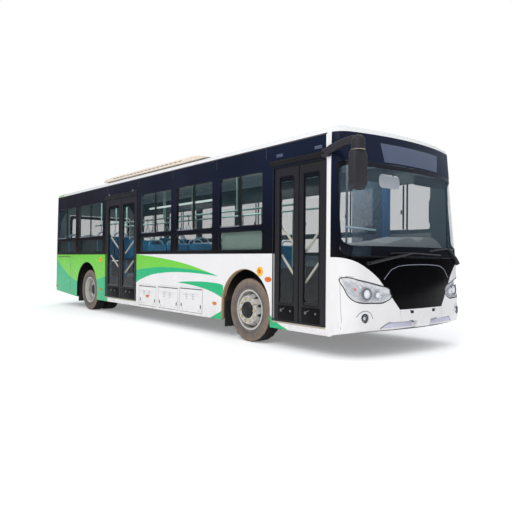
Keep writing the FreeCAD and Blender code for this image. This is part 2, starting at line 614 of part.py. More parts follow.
def rear_axle():
    x = -WHEELBASE
    reach = TRACK_Y - 0.5 * TWIN_SPACING
    tube = rod(V(x, -reach + 110.0, TYRE_R), V(x, reach - 110.0, TYRE_R), 72.0)
    shafts = [rod(V(x, side * (reach - 130.0), TYRE_R), V(x, side * (reach + 120.0), TYRE_R), SPINDLE_R + 20.0)
              for side in (-1, 1)]
    case = Part.makeSphere(190.0, V(x, 0, TYRE_R))
    motor = rod(V(x - 100.0, 0, TYRE_R + 10.0), V(x - 620.0, 0, TYRE_R + 10.0), 150.0)
    bellows = [Part.makeCylinder(95.0, 100.0, V(x + dx, y, 560.0), V(0, 0, 1))
               for dx in (-330.0, 330.0) for y in (-400.0, 400.0)]
    arms = [box(x - 430.0, x + 430.0, y - 40.0, y + 40.0, 500.0, 562.0) for y in (-400.0, 400.0)]
    write("rear_axle", fuse([tube, case, motor] + shafts + bellows + arms))


def mudflaps():
    """Rubber flaps behind the wheels: in front on the box's wall, at the rear under it."""
    sheet = 25.0
    rows = [(FRONT_BOX_X[0] + sheet, 560.0), (REAR_BOX_X[0], REAR_FLOOR_Z - FLOOR_THICK)]
    flaps = [box(x, x + 12.0, -1195.0, -925.0, 165.0, top) for x, top in rows]
    write("mudflaps", group([shape for flap in flaps for shape in both_sides(flap)]))


# ---------------------------------------------------------------- seats and driver's place
def seat(x, y, floor_z, width=430.0):
    """Moulded shell facing forward: pan, curved back and pedestal, as one outline."""
    pan_z = floor_z + 430.0
    side = [(x - 30.0, pan_z - 50.0), (x + 400.0, pan_z - 20.0), (x + 410.0, pan_z + 15.0), (x + 60.0, pan_z),
            (x - 45.0, pan_z + 480.0), (x - 85.0, pan_z + 500.0), (x - 100.0, pan_z + 470.0)]
    shell = prism(side, "Y", (y - 0.5 * width, y + 0.5 * width))
    leg = box(x + 120.0, x + 260.0, y - 30.0, y + 30.0, floor_z, pan_z - 20.0)
    return shell.fuse(leg)


# x of each row of pairs, side, floor height
SEAT_ROWS = ([(x, -1, PODIUM_Z) for x in (-3050.0, -2250.0, -1450.0)]
             + [(x, 1, PODIUM_Z) for x in (-4650.0, -3850.0, -3050.0, -2250.0, -1450.0)]
             + [(x, side, REAR_FLOOR_Z) for x in (-5500.0, -7300.0) for side in (-1, 1)])
SEAT_PITCH_Y = (600.0, 1000.0)


def cabin():
    seats = []
    for x, side, z in SEAT_ROWS:
        for y in SEAT_PITCH_Y:
            seats.append(seat(x, side * (y + 10.0), z, 380.0))
    seats += [seat(-7950.0, y, REAR_FLOOR_Z, 400.0) for y in (-880.0, -440.0, 0.0, 440.0, 880.0)]
    write("passenger_seats", group(seats))

    cushion_z = PODIUM_Z + 400.0
    base = box(860.0, 1180.0, 520.0, 840.0, PODIUM_Z, cushion_z)
    cushion = box(790.0, 1290.0, 440.0, 920.0, cushion_z, cushion_z + 110.0)
    back = prism([(800.0, cushion_z + 100.0), (900.0, cushion_z + 100.0), (800.0, cushion_z + 800.0),
                  (700.0, cushion_z + 800.0)], "Y", (440.0, 920.0))
    write("driver_seat", fuse([base, cushion, back]))

    dash = prism([(1570.0, FLOOR_Z), (2080.0, FLOOR_Z), (2080.0, 1180.0), (1900.0, 1245.0),
                  (1640.0, 1190.0), (1570.0, 1000.0)], "Y", (150.0, 1120.0))
    shelf = prism([(1760.0, 1000.0), (2080.0, 1000.0), (2080.0, 1180.0), (1900.0, 1245.0),
                   (1760.0, 1225.0)], "Y", (-1100.0, 160.0))
    cavity = skin(WALL)
    wheel = Part.makeTorus(225.0, 16.0)
    wheel.Placement = FreeCAD.Placement(V(1450.0, 680.0, 1290.0), FreeCAD.Rotation(V(0, 1, 0), -28))
    column = rod(V(1450.0, 680.0, 1290.0), V(1640.0, 680.0, 1000.0), 34.0)
    spokes = [rod(V(1450.0, 680.0 + s * 225.0, 1290.0), V(1450.0, 680.0, 1290.0), 14.0) for s in (-1, 1)]
    write("dashboard", fuse([dash.common(cavity), shelf.common(cavity), wheel, column] + spokes))

    poles = []
    ceiling = ROOF_RINGS[-1][0] - ROOF_DROP
    for x, y, z in [(-3400.0, -360.0, FLOOR_Z), (-700.0, -360.0, FLOOR_Z), (-700.0, 360.0, FLOOR_Z),
                    (-2900.0, 360.0, FLOOR_Z), (-4900.0, 360.0, FLOOR_Z), (-2050.0, -360.0, FLOOR_Z)]:
        poles.append(rod(V(x, y, z), V(x, y, 2080.0), 17.0))
    for y in (-360.0, 360.0):
        poles.append(rod(V(-7700.0, y, 2080.0), V(300.0, y, 2080.0), 17.0))
        poles += [rod(V(x, y, 2080.0), V(x, y, ceiling), 14.0) for x in (-7300.0, -6400.0, -5200.0, -4000.0, -1400.0, 250.0)]
    write("handrails", group([fuse([p for p in poles if p.BoundBox.Center.y * s > 0]) for s in (-1, 1)]))

    write("driver_partition", fuse([box(640.0, 665.0, 210.0, 1190.0, PODIUM_Z, 1400.0),
                                    rod(V(652.0, 215.0, PODIUM_Z), V(652.0, 215.0, ceiling), 17.0),
                                    box(640.0, 665.0, 210.0, 1190.0, FLOOR_Z, PODIUM_Z)]))


# ---------------------------------------------------------------- what stands off the body
def mirrors():
    """The right one hangs ahead of its corner on a bent arm, the left one beside its pillar."""
    half = (60.0, 115.0)
    # head's centre, height of its foot and top, then the arm's route from the wall
    rows = [(V(2250.0, -1450.0, 0.0), 2000.0, 2420.0,
             [V(1625.0, -1240.0, 2560.0), V(1860.0, -1360.0, 2600.0), V(2140.0, -1440.0, 2590.0)]),
            (V(1620.0, 1450.0, 0.0), 1760.0, 2180.0, [V(1620.0, 1240.0, 2290.0)])]
    outside = skin(0.0)
    shapes = []
    for centre, foot_z, top_z, route in rows:
        crown = centre + V(0, 0, top_z + 90.0)
        route = route + [crown, centre + V(0, 0, top_z - 40.0)]
        arm = [rod(a, b, 26.0) for a, b in zip(route, route[1:])]
        arm += [Part.makeSphere(26.0, p) for p in route[1:-1]]
        housing = box(centre.x - half[0], centre.x + half[0], centre.y - half[1], centre.y + half[1],
                      foot_z, top_z)
        housing = housing.makeFillet(28.0, housing.Edges)
        start = route[0]
        side = 1.0 if start.y > 0 else -1.0
        y0, y1 = sorted((side * (HALF_WIDTH - 10.0), side * (HALF_WIDTH + 40.0)))
        foot = box(start.x - 35.0, start.x + 35.0, y0, y1, start.z - 60.0, start.z + 60.0)
        cap = Part.makeSphere(75.0, crown + V(0, 0, 10.0))
        shapes.append(fuse([foot, housing, cap] + arm).cut(outside))
    write("mirrors", group(shapes))


def wipers():
    """Two arms with blades that lie just ahead of the windscreen's foot."""
    shapes = []
    for pivot_y, tip_y, tip_z in ((-780.0, 150.0, 1330.0), (1000.0, 260.0, 1370.0)):
        pivot = V(nose_at(pivot_y, 1225.0) - 20.0, pivot_y, 1225.0)
        elbow = V(nose_at(pivot_y, 1225.0) + 34.0, pivot_y, 1225.0)
        tip = V(nose_at(tip_y, tip_z) + 30.0, tip_y, tip_z)
        arm = rod(elbow, tip, 9.0)
        blade_a = elbow + (tip - elbow) * 0.45 + V(0, 0, 18.0)
        shapes.append(fuse([rod(pivot, elbow + V(8.0, 0, 0), 24.0), arm, rod(blade_a, tip + V(0, 0, 4.0), 12.0)]))
    outside = skin(0.0)
    write("wipers", group([shape.cut(outside) for shape in shapes]))


def nose_at(y, z):
    """x of the outer skin at a given y and height, ahead of the corners."""
    for (z0, front0, _), (z1, front1, _) in zip(SKIN, SKIN[1:]):
        if z0 <= z <= z1:
            tip = front0 + (front1 - front0) * (z - z0) / (z1 - z0)
            return tip - (NOSE_RADIUS - math.sqrt(NOSE_RADIUS ** 2 - y * y))
    raise ValueError(z)


def side_markers():
    """Small lamps that stand a little proud of the walls; the right rear hatch carries its own."""
    shapes = []
    for x, z in [(-790.0, 512.0), (-5200.0, 519.0), (-8040.0, 477.0)]:
        shapes += both_sides(marker(x, z))
    shapes.append(both_sides(marker(-3020.0, 498.0))[1])
    shapes += both_sides(box(470.0, 540.0, -HALF_WIDTH - 18.0, -HALF_WIDTH, 905.0, 965.0))
    write("side_markers", group(shapes))


shell_of_walls = skin_shell()
front_cap(shell_of_walls)
side_walls(shell_of_walls)
rear_cap(shell_of_walls)
roof()
doors()
hatches()
cabin_floor()
wheel_boxes()
underframe()
battery_pack()
front_wheels()
rear_wheels()
front_axle()
knuckles()
rear_axle()
mudflaps()
cabin()
mirrors()
wipers()
side_markers()
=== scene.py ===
"""Looks of a single-deck city bus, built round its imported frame.

Metres, +X forward, +Y to the bus's left, +Z up. The doors are on the -Y side.
"""

import json
from math import copysign, cos, pi, radians, sin, sqrt

import bmesh
import bpy
from mathutils import Matrix, Vector
from mathutils.bvhtree import BVHTree


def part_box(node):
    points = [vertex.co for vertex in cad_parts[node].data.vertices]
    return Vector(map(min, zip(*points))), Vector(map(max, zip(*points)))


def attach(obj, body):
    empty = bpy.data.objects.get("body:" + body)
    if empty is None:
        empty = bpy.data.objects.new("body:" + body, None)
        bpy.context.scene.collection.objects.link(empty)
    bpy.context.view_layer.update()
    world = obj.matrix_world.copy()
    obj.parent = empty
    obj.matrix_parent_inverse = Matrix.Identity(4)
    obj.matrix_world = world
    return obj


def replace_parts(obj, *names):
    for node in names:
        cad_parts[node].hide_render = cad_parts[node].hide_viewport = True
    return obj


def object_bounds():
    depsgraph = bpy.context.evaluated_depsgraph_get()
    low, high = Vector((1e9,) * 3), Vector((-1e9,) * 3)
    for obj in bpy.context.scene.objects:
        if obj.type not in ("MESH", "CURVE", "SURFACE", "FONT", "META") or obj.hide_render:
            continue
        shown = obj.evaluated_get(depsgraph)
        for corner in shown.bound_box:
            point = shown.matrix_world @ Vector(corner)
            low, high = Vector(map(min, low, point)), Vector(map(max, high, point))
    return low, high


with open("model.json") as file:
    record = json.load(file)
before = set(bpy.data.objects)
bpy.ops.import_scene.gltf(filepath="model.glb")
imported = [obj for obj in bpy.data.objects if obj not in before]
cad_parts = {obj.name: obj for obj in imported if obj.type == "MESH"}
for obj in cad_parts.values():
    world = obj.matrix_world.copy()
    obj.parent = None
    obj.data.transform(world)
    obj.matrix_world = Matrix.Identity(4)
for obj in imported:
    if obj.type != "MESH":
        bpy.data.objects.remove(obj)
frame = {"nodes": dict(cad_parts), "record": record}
cad_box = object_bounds()
nodes = frame["nodes"]

# ---------------------------------------------------------------- places taken from the frame
FRONT_AXLE = (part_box("front_rim_right")[0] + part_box("front_rim_right")[1]) / 2
AXLE_X = FRONT_AXLE.x
REAR_AXLE = (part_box("rear_rims_right")[0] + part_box("rear_rims_right")[1]) / 2
WHEELBASE = FRONT_AXLE.x - REAR_AXLE.x
SIDE_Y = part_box("side_lower_left")[1].y
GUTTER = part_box("window_band_left")[1].z
TAIL_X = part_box("rear_panel")[0].x

# ---------------------------------------------------------------- sides, directions and stations
RIGHT, LEFT = -1, 1
SIDES = ((RIGHT, "right"), (LEFT, "left"))
OUT_RIGHT, UPWARDS, FORWARD = (0, -1, 0), (0, 0, 1), (1, 0, 0)
NOSE_SEAM = 1.6  # where the side walls meet the front
TAIL_BLEND = (1.42, 0.16)  # height and softness of the change from teal to light green at the tail


def at(station):
    """x of a station measured from the front axle."""
    return AXLE_X + station


# ---------------------------------------------------------------- colours
def srgb(red, green, blue):
    """Display bytes to a linear colour."""
    def channel(value):
        value /= 255.0
        return value / 12.92 if value <= 0.04045 else ((value + 0.055) / 1.055) ** 2.4
    return (channel(red), channel(green), channel(blue), 1.0)


WHITE = srgb(228, 226, 226)
LIGHT_GREEN = srgb(110, 202, 58)
TEAL = srgb(2, 176, 116)
LINING = srgb(112, 122, 124)
CEILING = srgb(176, 190, 192)
ROOF_WHITE = srgb(226, 227, 226)
DUST = srgb(150, 133, 112)


# ---------------------------------------------------------------- node graphs
class Graph:
    """A material's node tree with one principled shader."""

    def __init__(self, name):
        self.name = name
        self.material = bpy.data.materials.new(name)
        self.material.use_nodes = True
        self.tree = self.material.node_tree
        self.tree.nodes.clear()
        output = self.add("OutputMaterial")
        self.shader = self.add("BsdfPrincipled")
        self.tree.links.new(self.shader.outputs["BSDF"], output.inputs["Surface"])
        self.coords = self.add("TexCoord").outputs["Object"]
        split = self.add("SeparateXYZ")
        self.put(split.inputs[0], self.coords)
        self.x, self.y, self.z = split.outputs

    def add(self, kind, **settings):
        node = self.tree.nodes.new("ShaderNode" + kind)
        for key, value in settings.items():
            setattr(node, key, value)
        return node

    def put(self, socket, value):
        if isinstance(value, bpy.types.NodeSocket):
            self.tree.links.new(value, socket)
        elif value is not None:
            socket.default_value = value

    def math(self, operation, a, b=None):
        node = self.add("Math", operation=operation)
        self.put(node.inputs[0], a)
        self.put(node.inputs[1], b)
        return node.outputs[0]

    def times(self, a, b):
        return self.math("MULTIPLY", a, b)

    def plus(self, a, b):
        return self.math("ADD", a, b)

    def minus(self, a, b):
        return self.math("SUBTRACT", a, b)

    def step(self, value, edge, soft=0.0015):
        """0 below the edge and 1 above it, over a soft width."""
        node = self.add("MapRange", clamp=True)
        self.put(node.inputs["Value"], self.minus(value, edge))
        self.put(node.inputs["From Min"], -soft)
        self.put(node.inputs["From Max"], soft)
        return node.outputs[0]

    def span(self, value, low, high, to_low, to_high):
        node = self.add("MapRange", clamp=True)
        for key, v in zip(("Value", "From Min", "From Max", "To Min", "To Max"),
                          (value, low, high, to_low, to_high)):
            self.put(node.inputs[key], v)
        return node.outputs[0]

    def mix(self, factor, a, b):
        node = self.add("Mix", data_type="RGBA")
        self.put(node.inputs[0], factor)
        self.put(node.inputs[6], a)
        self.put(node.inputs[7], b)
        return node.outputs[2]

    def tinted(self, colour, factor):
        """A colour times a grey factor."""
        grey = self.add("CombineColor")
        for socket in grey.inputs:
            self.put(socket, factor)
        node = self.add("Mix", data_type="RGBA", blend_type="MULTIPLY")
        node.inputs[0].default_value = 1.0
        self.put(node.inputs[6], colour)
        self.put(node.inputs[7], grey.outputs[0])
        return node.outputs[2]

    def noise(self, scale, detail=3.0):
        node = self.add("TexNoise")
        node.inputs["Scale"].default_value = scale
        node.inputs["Detail"].default_value = detail
        self.put(node.inputs["Vector"], self.coords)
        return node.outputs[0]

    def uneven(self, scale, low, high, detail=3.0):
        """Noise that moves between two values."""
        return self.span(self.noise(scale, detail), 0.3, 0.7, low, high)

    def curve(self, value, points):
        """A smooth function through (in, out) points, in the units that they are given in."""
        xs, ys = [p[0] for p in points], [p[1] for p in points]
        low, high, floor, top = min(xs), max(xs), min(ys), max(ys)
        node = self.add("FloatCurve")
        line = node.mapping.curves[0]
        scaled = [((x - low) / (high - low), (y - floor) / (top - floor)) for x, y in sorted(points)]
        line.points[0].location, line.points[-1].location = scaled[0], scaled[-1]
        for place in scaled[1:-1]:
            line.points.new(*place)
        node.mapping.update()
        self.put(node.inputs["Value"], self.span(value, low, high, 0, 1.0))
        return self.span(node.outputs[0], 0, 1.0, floor, top)

    def bump(self, height, strength, distance=0.001):
        node = self.add("Bump")
        node.inputs["Strength"].default_value = strength
        node.inputs["Distance"].default_value = distance
        self.put(node.inputs["Height"], height)
        self.put(self.shader.inputs["Normal"], node.outputs[0])

    def set(self, **values):
        for key, value in values.items():
            self.put(self.shader.inputs[key.replace("_", " ").title().replace("Ior", "IOR")], value)


def fill_ramp(node, stops):
    """Sets a colour ramp's stops from (place, colour) rows."""
    elements = node.color_ramp.elements
    elements[0].position, elements[0].color = stops[0]
    elements[1].position, elements[1].color = stops[-1]
    for place, colour in stops[1:-1]:
        elements.new(place).color = colour


def surface(name, shown, roughness=0.45, metallic=0.0, coat=0.0, spread=0.06, grain=6.0, bump=0.0,
            bump_scale=400.0, dust=0.0, specular=0.5):
    """A finish with mottled colour, uneven gloss, fine bump and dust towards the road."""
    g, colour = Graph(name), srgb(*shown)
    mottle = g.noise(grain, 4.0)
    light = tuple(min(1.0, c * (1 + spread)) for c in colour[:3]) + (1.0,)
    dark = tuple(c * (1 - spread) for c in colour[:3]) + (1.0,)
    tone = g.mix(mottle, dark, light)
    if dust:
        height = g.span(g.z, 0.1, 1.1, 1.0, 0)
        patches = g.uneven(9.0, 0.2, 1.0)
        amount = g.times(g.times(height, patches), dust)
        tone = g.mix(amount, tone, DUST)
    g.set(base_color=tone, metallic=metallic, coat_weight=coat, specular_ior_level=specular)
    g.set(roughness=g.uneven(grain * 3.0, roughness * 0.85, roughness * 1.15))
    if bump:
        g.bump(g.noise(bump_scale, 2.0), bump)
    return g


# Sweeps of colour on the lower wall: (station, height) points of each edge
GREEN_TOP = [(-3.55, 1.296), (-2.52, 1.225), (-1.81, 1.149), (-1.23, 1.053), (-0.7, 0.943)]
GREEN_FOOT = [(-3.55, 0.974), (-3.05, 1.028), (-2.45, 1.06), (-1.81, 1.051), (-0.7, 0.943)]
TEAL_FOOT = [(-3.55, 0.712), (-3.11, 0.858), (-2.6, 0.942), (-1.81, 0.981), (-0.7, 0.943)]
SECOND_TOP = [(-1.93, 0.8), (-1.475, 0.835), (-1.018, 0.844), (-0.56, 0.79)]
SECOND_FOOT = [(-1.93, 0.799), (-1.474, 0.774), (-1.016, 0.719), (-0.56, 0.6)]
REAR_EDGE = [(-8.3, 1.33), (-8.1, 1.215), (-7.79, 1.03), (-7.35, 0.84), (-6.99, 0.722), (-6.6, 0.655),
             (-6.05, 0.655), (-5.44, 0.733), (-4.95, 0.824)]
FORE_TOP = [(0.3, 0.64), (0.5, 0.487), (0.66, 0.372), (0.9, 0.285)]
AFT_TOP = [(-0.93, 0.27), (-0.55, 0.43)]
SWEEPS = [(GREEN_TOP, GREEN_FOOT, LIGHT_GREEN), (GREEN_FOOT, TEAL_FOOT, TEAL),
          (SECOND_TOP, SECOND_FOOT, TEAL), (AFT_TOP, None, TEAL), (FORE_TOP, None, TEAL)]
# The sweeps' rear end. The rear colours start there on the left, and a door's width behind it on the right
SWEEP_REAR, DOOR_SPAN = -3.55, 1.3


PAINT_ROUGHNESS = 0.22


def livery(g):
    """White with green and teal sweeps, as a colour socket."""
    x = g.minus(g.x, AXLE_X)

    def under(points):
        return g.minus(1.0, over(points))

    def over(points):
        return g.step(g.z, g.curve(x, points))

    def both(a, b):
        return g.times(a, b)

    colour = WHITE
    for top, foot, paint in SWEEPS:
        ends = both(g.step(x, top[0][0], 0.001), g.minus(1.0, g.step(x, top[-1][0], 0.001)))
        mask = both(ends, under(top))
        colour = g.mix(both(mask, over(foot)) if foot else mask, colour, paint)
    shift = g.times(g.math("LESS_THAN", g.y, 0), DOOR_SPAN)
    rear = g.minus(1.0, g.step(g.plus(x, shift), SWEEP_REAR, 0.001))
    colour = g.mix(both(rear, over(REAR_EDGE)), colour, LIGHT_GREEN)
    return g.mix(both(rear, under(REAR_EDGE)), colour, TEAL)


def painted(name, colour_of):
    """Coach paint: colour from a function, faint mottle, road dust low down and a thin clear coat."""
    g = Graph(name)
    shade = g.uneven(1.7, 0.975, 1.025)
    specks = g.span(g.noise(14.0, 6.0), 0.42, 0.8, 0, 0.28)
    dirt = g.times(g.span(g.z, 0.27, 0.55, 1.0, 0), specks)
    colour = g.mix(dirt, g.tinted(colour_of(g), shade), DUST)
    g.set(base_color=colour, coat_weight=0.05, specular_ior_level=0.25)
    g.set(roughness=g.uneven(5.0, PAINT_ROUGHNESS * 0.8, PAINT_ROUGHNESS * 1.3))
    g.bump(g.noise(2.2, 1.0), 0.05, 0.004)
    return g


def inner_faces(g):
    """1 well inside the side walls, where the lining shows."""
    across = g.minus(1.0, g.step(g.math("ABSOLUTE", g.y), SIDE_Y - 0.032, 0.002))
    ahead_of_tail = g.step(g.x, TAIL_X + 0.2, 0.002)
    behind_nose = g.minus(1.0, g.step(g.x, at(NOSE_SEAM), 0.002))
    return g.times(across, g.times(ahead_of_tail, behind_nose))


def side_colour(g):
    return g.mix(inner_faces(g), livery(g), LINING)


CABIN_MIDDLE = 1.6  # height from which facing_in() looks outwards


def facing_in(g):
    """1 on faces that look into the cabin, 0 on faces that look out."""
    normal = g.add("SeparateXYZ")
    g.put(normal.inputs[0], g.add("TexCoord").outputs["Normal"])
    offsets = (g.x, g.y, g.minus(g.z, CABIN_MIDDLE))
    along_x, along_y, along_z = [g.times(n, away) for n, away in zip(normal.outputs, offsets)]
    return g.math("LESS_THAN", g.plus(g.plus(along_x, along_y), along_z), 0)


def tail_green(g):
    """Light green that turns to teal low down."""
    return g.mix(g.step(g.z, *TAIL_BLEND), TEAL, LIGHT_GREEN)


def rear_colour(g):
    return g.mix(facing_in(g), tail_green(g), LINING)


def roof_colour(g):
    outside = g.mix(g.step(g.x, at(-7.62), 0.002), LIGHT_GREEN, ROOF_WHITE)
    return g.mix(facing_in(g), outside, CEILING)


def black_band():
    """Near-black gloss with a painted sky reflection: lighter navy high at the front, lighter charcoal high
    at the rear, and nearly black low down.
    """
    g = Graph("band_black")
    ahead = g.span(g.x, at(-7.0), at(1.0), 0, 1.0)
    # painted reflection: the colour lightens upwards and towards the front, standing in for the sky that the
    # gloss reflects; low down it is the band's own near-black
    high = g.mix(ahead, srgb(33, 31, 38), srgb(20, 27, 46))
    low = g.mix(ahead, srgb(14, 13, 15), srgb(9, 9, 12))
    band_with_painted_reflection = g.mix(g.span(g.z, 1.25, 2.35, 0, 1.0), low, high)
    shade = g.uneven(0.9, 0.85, 1.2, 2.0)
    tail = g.minus(1.0, g.step(g.x, at(-8.05), 0.002))
    outside = g.mix(tail, g.tinted(band_with_painted_reflection, shade), tail_green(g))
    g.set(base_color=g.mix(facing_in(g), outside, srgb(70, 78, 80)), specular_ior_level=0.14)
    g.set(roughness=g.uneven(2.0, 0.12, 0.22))
    return g


TYRE_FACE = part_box("front_tyre_left")[1].y


def tyre_rubber():
    """Nearly black tread and inner side wall, a tan dusty shoulder and a greyer ring inside it."""
    g = Graph("tyre")
    from_middle = g.math("ABSOLUTE", g.minus(g.x, AXLE_X - 0.5 * WHEELBASE))
    along = g.minus(from_middle, 0.5 * WHEELBASE)
    rise = g.minus(g.z, FRONT_AXLE.z)
    squares = g.plus(g.times(along, along), g.times(rise, rise))
    radius = g.math("SQRT", squares)
    rings = g.add("ValToRGB")
    fill_ramp(rings, [(0, srgb(48, 45, 44)), (0.14, srgb(118, 106, 96)), (0.24, srgb(96, 90, 88)),
                      (0.5, srgb(112, 104, 99)), (0.7, srgb(124, 110, 98)), (0.86, srgb(140, 122, 106)),
                      (0.915, srgb(92, 82, 74)), (0.95, srgb(30, 28, 27))])
    g.put(rings.inputs[0], g.span(radius, 0.285, 0.475, 0, 1.0))
    shade = g.uneven(14.0, 0.84, 1.14, 5.0)
    outer = g.step(g.math("ABSOLUTE", g.y), TYRE_FACE - 0.045, 0.02)
    rubber = g.mix(outer, srgb(28, 27, 27), rings.outputs[0])
    g.set(base_color=g.tinted(rubber, shade), roughness=0.85, specular_ior_level=0.3)
    g.bump(g.noise(400.0, 2.0), 0.3)
    return g


def glass(name, colour, alpha, roughness=0.02, scale=2.0, detail=3.0, lighter=1.1, specular=0.8, grain=4.0):
    """Clear glass with faint streaks."""
    g = Graph(name)
    tint = srgb(*colour)
    light = tuple(c * lighter for c in tint[:3]) + (1.0,)
    g.set(base_color=g.mix(g.noise(scale, detail), tint, light), specular_ior_level=specular, alpha=alpha)
    g.set(roughness=g.uneven(grain, roughness, roughness * 2.0))
    return g


# ---------------------------------------------------------------- meshes
def turned(count, turn=2 * pi):
    """Equal angles of a turn, its end left out."""
    return [turn * k / count for k in range(count)]


def smooth_line(points, steps=6, closed=False):
    """A Catmull-Rom line through points."""
    points = [Vector(p) for p in points]
    count = len(points)
    if closed:
        spans = [[points[(i + k) % count] for k in (-1, 0, 1, 2)] for i in range(count)]
    else:
        padded = [points[0] * 2 - points[1]] + points + [points[-1] * 2 - points[-2]]
        spans = [padded[i:i + 4] for i in range(count - 1)]
    line = []
    for a, b, c, d in spans:
        for k in range(steps):
            t = k / steps
            line.append(0.5 * (2 * b + (c - a) * t + (2 * a - 5 * b + 4 * c - d) * t * t
                               + (3 * b - a - 3 * c + d) * t ** 3))
    return line if closed else line + [points[-1]]


def rounded_loop(u0, u1, v0, v1, radius, steps=5):
    """Corner-rounded rectangle as (u, v) points, once round."""
    loop = []
    for turn, (u, v) in enumerate(((u1 - radius, v1 - radius), (u0 + radius, v1 - radius),
                                   (u0 + radius, v0 + radius), (u1 - radius, v0 + radius))):
        for k in range(steps + 1):
            angle = 0.5 * pi * (turn + k / steps)
            loop.append((u + radius * cos(angle), v + radius * sin(angle)))
    return loop


def dense_loop(loop, parts, far=0.15):
    """Adds points between those of a closed (u, v) loop that lie far apart."""
    result = []
    for a, b in zip(loop, loop[1:] + loop[:1]):
        count = parts if (Vector(b) - Vector(a)).length > far else 1
        result += [tuple(Vector(a).lerp(Vector(b), k / count)) for k in range(count)]
    return result


def ways(line, closed):
    """Each point of a line with the way from the point before it to the one after it."""
    line = [Vector(p) for p in line]
    found = []
    for i, p in enumerate(line):
        after = line[(i + 1) % len(line)] if closed or i + 1 < len(line) else p
        before = line[i - 1] if closed or i > 0 else p
        found.append((p, after - before))
    return found


class Shape:
    """Collects the geometry of one piece."""

    def __init__(self):
        self.bm = bmesh.new()

    def loft(self, rings, caps=True, round_again=False):
        """Joins closed rings of equally many points, one after the other."""
        rows = [[self.bm.verts.new(p) for p in ring] for ring in rings]
        pairs = list(zip(rows, rows[1:])) + ([(rows[-1], rows[0])] if round_again else [])
        count = len(rows[0])
        for low, high in pairs:
            for i in range(count):
                j = (i + 1) % count
                self.bm.faces.new((low[i], low[j], high[j], high[i]))
        if caps and not round_again:
            self.bm.faces.new(rows[0][::-1])
            self.bm.faces.new(rows[-1])
        return self

    def grid(self, rows):
        """An open sheet through rows of points."""
        rows = [[self.bm.verts.new(p) for p in row] for row in rows]
        for low, high in zip(rows, rows[1:]):
            for i in range(len(low) - 1):
                self.bm.faces.new((low[i], low[i + 1], high[i + 1], high[i]))
        return self

    def box(self, x0, x1, y0, y1, z0, z1, bevel=0.0):
        before = set(self.bm.edges)
        self.loft([[(x, y0, z0), (x, y1, z0), (x, y1, z1), (x, y0, z1)] for x in (x0, x1)])
        return self.soften(before, bevel, 2)

    def soften(self, before, bevel, segments):
        """Bevels the edges that are new since before."""
        if bevel:
            edges = [e for e in self.bm.edges if e not in before]
            bmesh.ops.bevel(self.bm, geom=edges, offset=bevel, segments=segments, profile=0.5, affect="EDGES")
        return self

    def slab(self, outline, x0, x1, bevel=0.0):
        """A flat (y, z) outline pushed along x."""
        before = set(self.bm.edges)
        self.loft([[(x, y, z) for y, z in outline] for x in (x0, x1)])
        return self.soften(before, bevel, 1)

    def lathe(self, profile, centre, axis, segments=32):
        """Turns (along, radius) points about an axis through a centre."""
        axis = Vector(axis).normalized()
        side = axis.orthogonal().normalized()
        other = axis.cross(side)
        rings = [[Vector(centre) + axis * along + (side * cos(t) + other * sin(t)) * radius
                  for t in turned(segments)] for along, radius in profile]
        return self.loft(rings, caps=profile[0][1] > 0 and profile[-1][1] > 0)

    def tube(self, line, radius, sides=10, closed=False, flat=1.0, up=UPWARDS):
        """A bar along a line; flat over 1 makes it an oval. The radius may be a list, one for each point."""
        rings = []
        normal = Vector(up)
        for i, (p, ahead) in enumerate(ways(line, closed)):
            ahead = ahead.normalized()
            normal = (normal - ahead * normal.dot(ahead)).normalized()
            across = ahead.cross(normal) * flat
            size = radius[i] if isinstance(radius, list) else radius
            rings.append([p + (across * cos(t) + normal * sin(t)) * size for t in turned(sides)])
        return self.loft(rings, round_again=closed)

    def strip(self, line, normals, width, height, closed=False, sink=0.002):
        """A flat trim with chamfered edges that lies on a surface along a line."""
        edge = [(-0.5, -sink), (-0.5, 0.5 * height), (-0.32, height)]
        section = edge + [(-a, b) for a, b in reversed(edge)]
        rings = []
        for i, (p, ahead) in enumerate(ways(line, closed)):
            normal = Vector(normals[i] if isinstance(normals, list) else normals)
            across = ahead.cross(normal).normalized() * width
            rings.append([p + across * a + normal * b for a, b in section])
        return self.loft(rings, round_again=closed)

    def on_wall(self, points, width, height, side=-1, closed=False, sink=0.002):
        """A strip through (x, z) points on a side wall."""
        line = [(x, side * SIDE_Y, z) for x, z in points]
        return self.strip(line, (0, side, 0), width, height, closed, sink)

    def on_end(self, tree, points, width, height, steps=3, closed=False, sign=1.0, sink=0.002):
        """A strip through (y, z) points on an end's skin, made smooth where steps is over 1."""
        line, normals = end_line(tree, points, steps, closed, sign)
        return self.strip(line, normals, width, height, closed, sink)

    def oval(self, x, z, half_x, half_z, profile, side=-1, count=24):
        """A low oval dome on a side wall, through (out, share) points."""
        return self.loft([[(x + half_x * share * cos(t), side * (SIDE_Y + out), z + half_z * share * sin(t))
                           for t in turned(count)] for out, share in profile])

    def done(self, name, slot, finish=None, body="body", crease=35.0):
        """Closes the piece, gives it its finish and lets it ride on a body."""
        bmesh.ops.remove_doubles(self.bm, verts=self.bm.verts, dist=1e-5)
        bmesh.ops.recalc_face_normals(self.bm, faces=self.bm.faces)
        mesh = bpy.data.meshes.new(name)
        self.bm.to_mesh(mesh)
        self.bm.free()
        mesh.shade_smooth()
        mesh.set_sharp_from_angle(angle=radians(crease))
        mesh.materials.append((finish or MATERIALS[slot]).material)
        piece = bpy.data.objects.new(name, mesh)
        bpy.context.scene.collection.objects.link(piece)
        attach(piece, body)
        return piece


def shapes(count):
    return [Shape() for _ in range(count)]


def tree_of(*names):
    """Something to cast rays at, made of CAD nodes."""
    points, faces = [], []
    for name in names:
        mesh = nodes[name].data
        start = len(points)
        points += [v.co.copy() for v in mesh.vertices]
        faces += [[start + i for i in polygon.vertices] for polygon in mesh.polygons]
    return BVHTree.FromPolygons(points, faces)


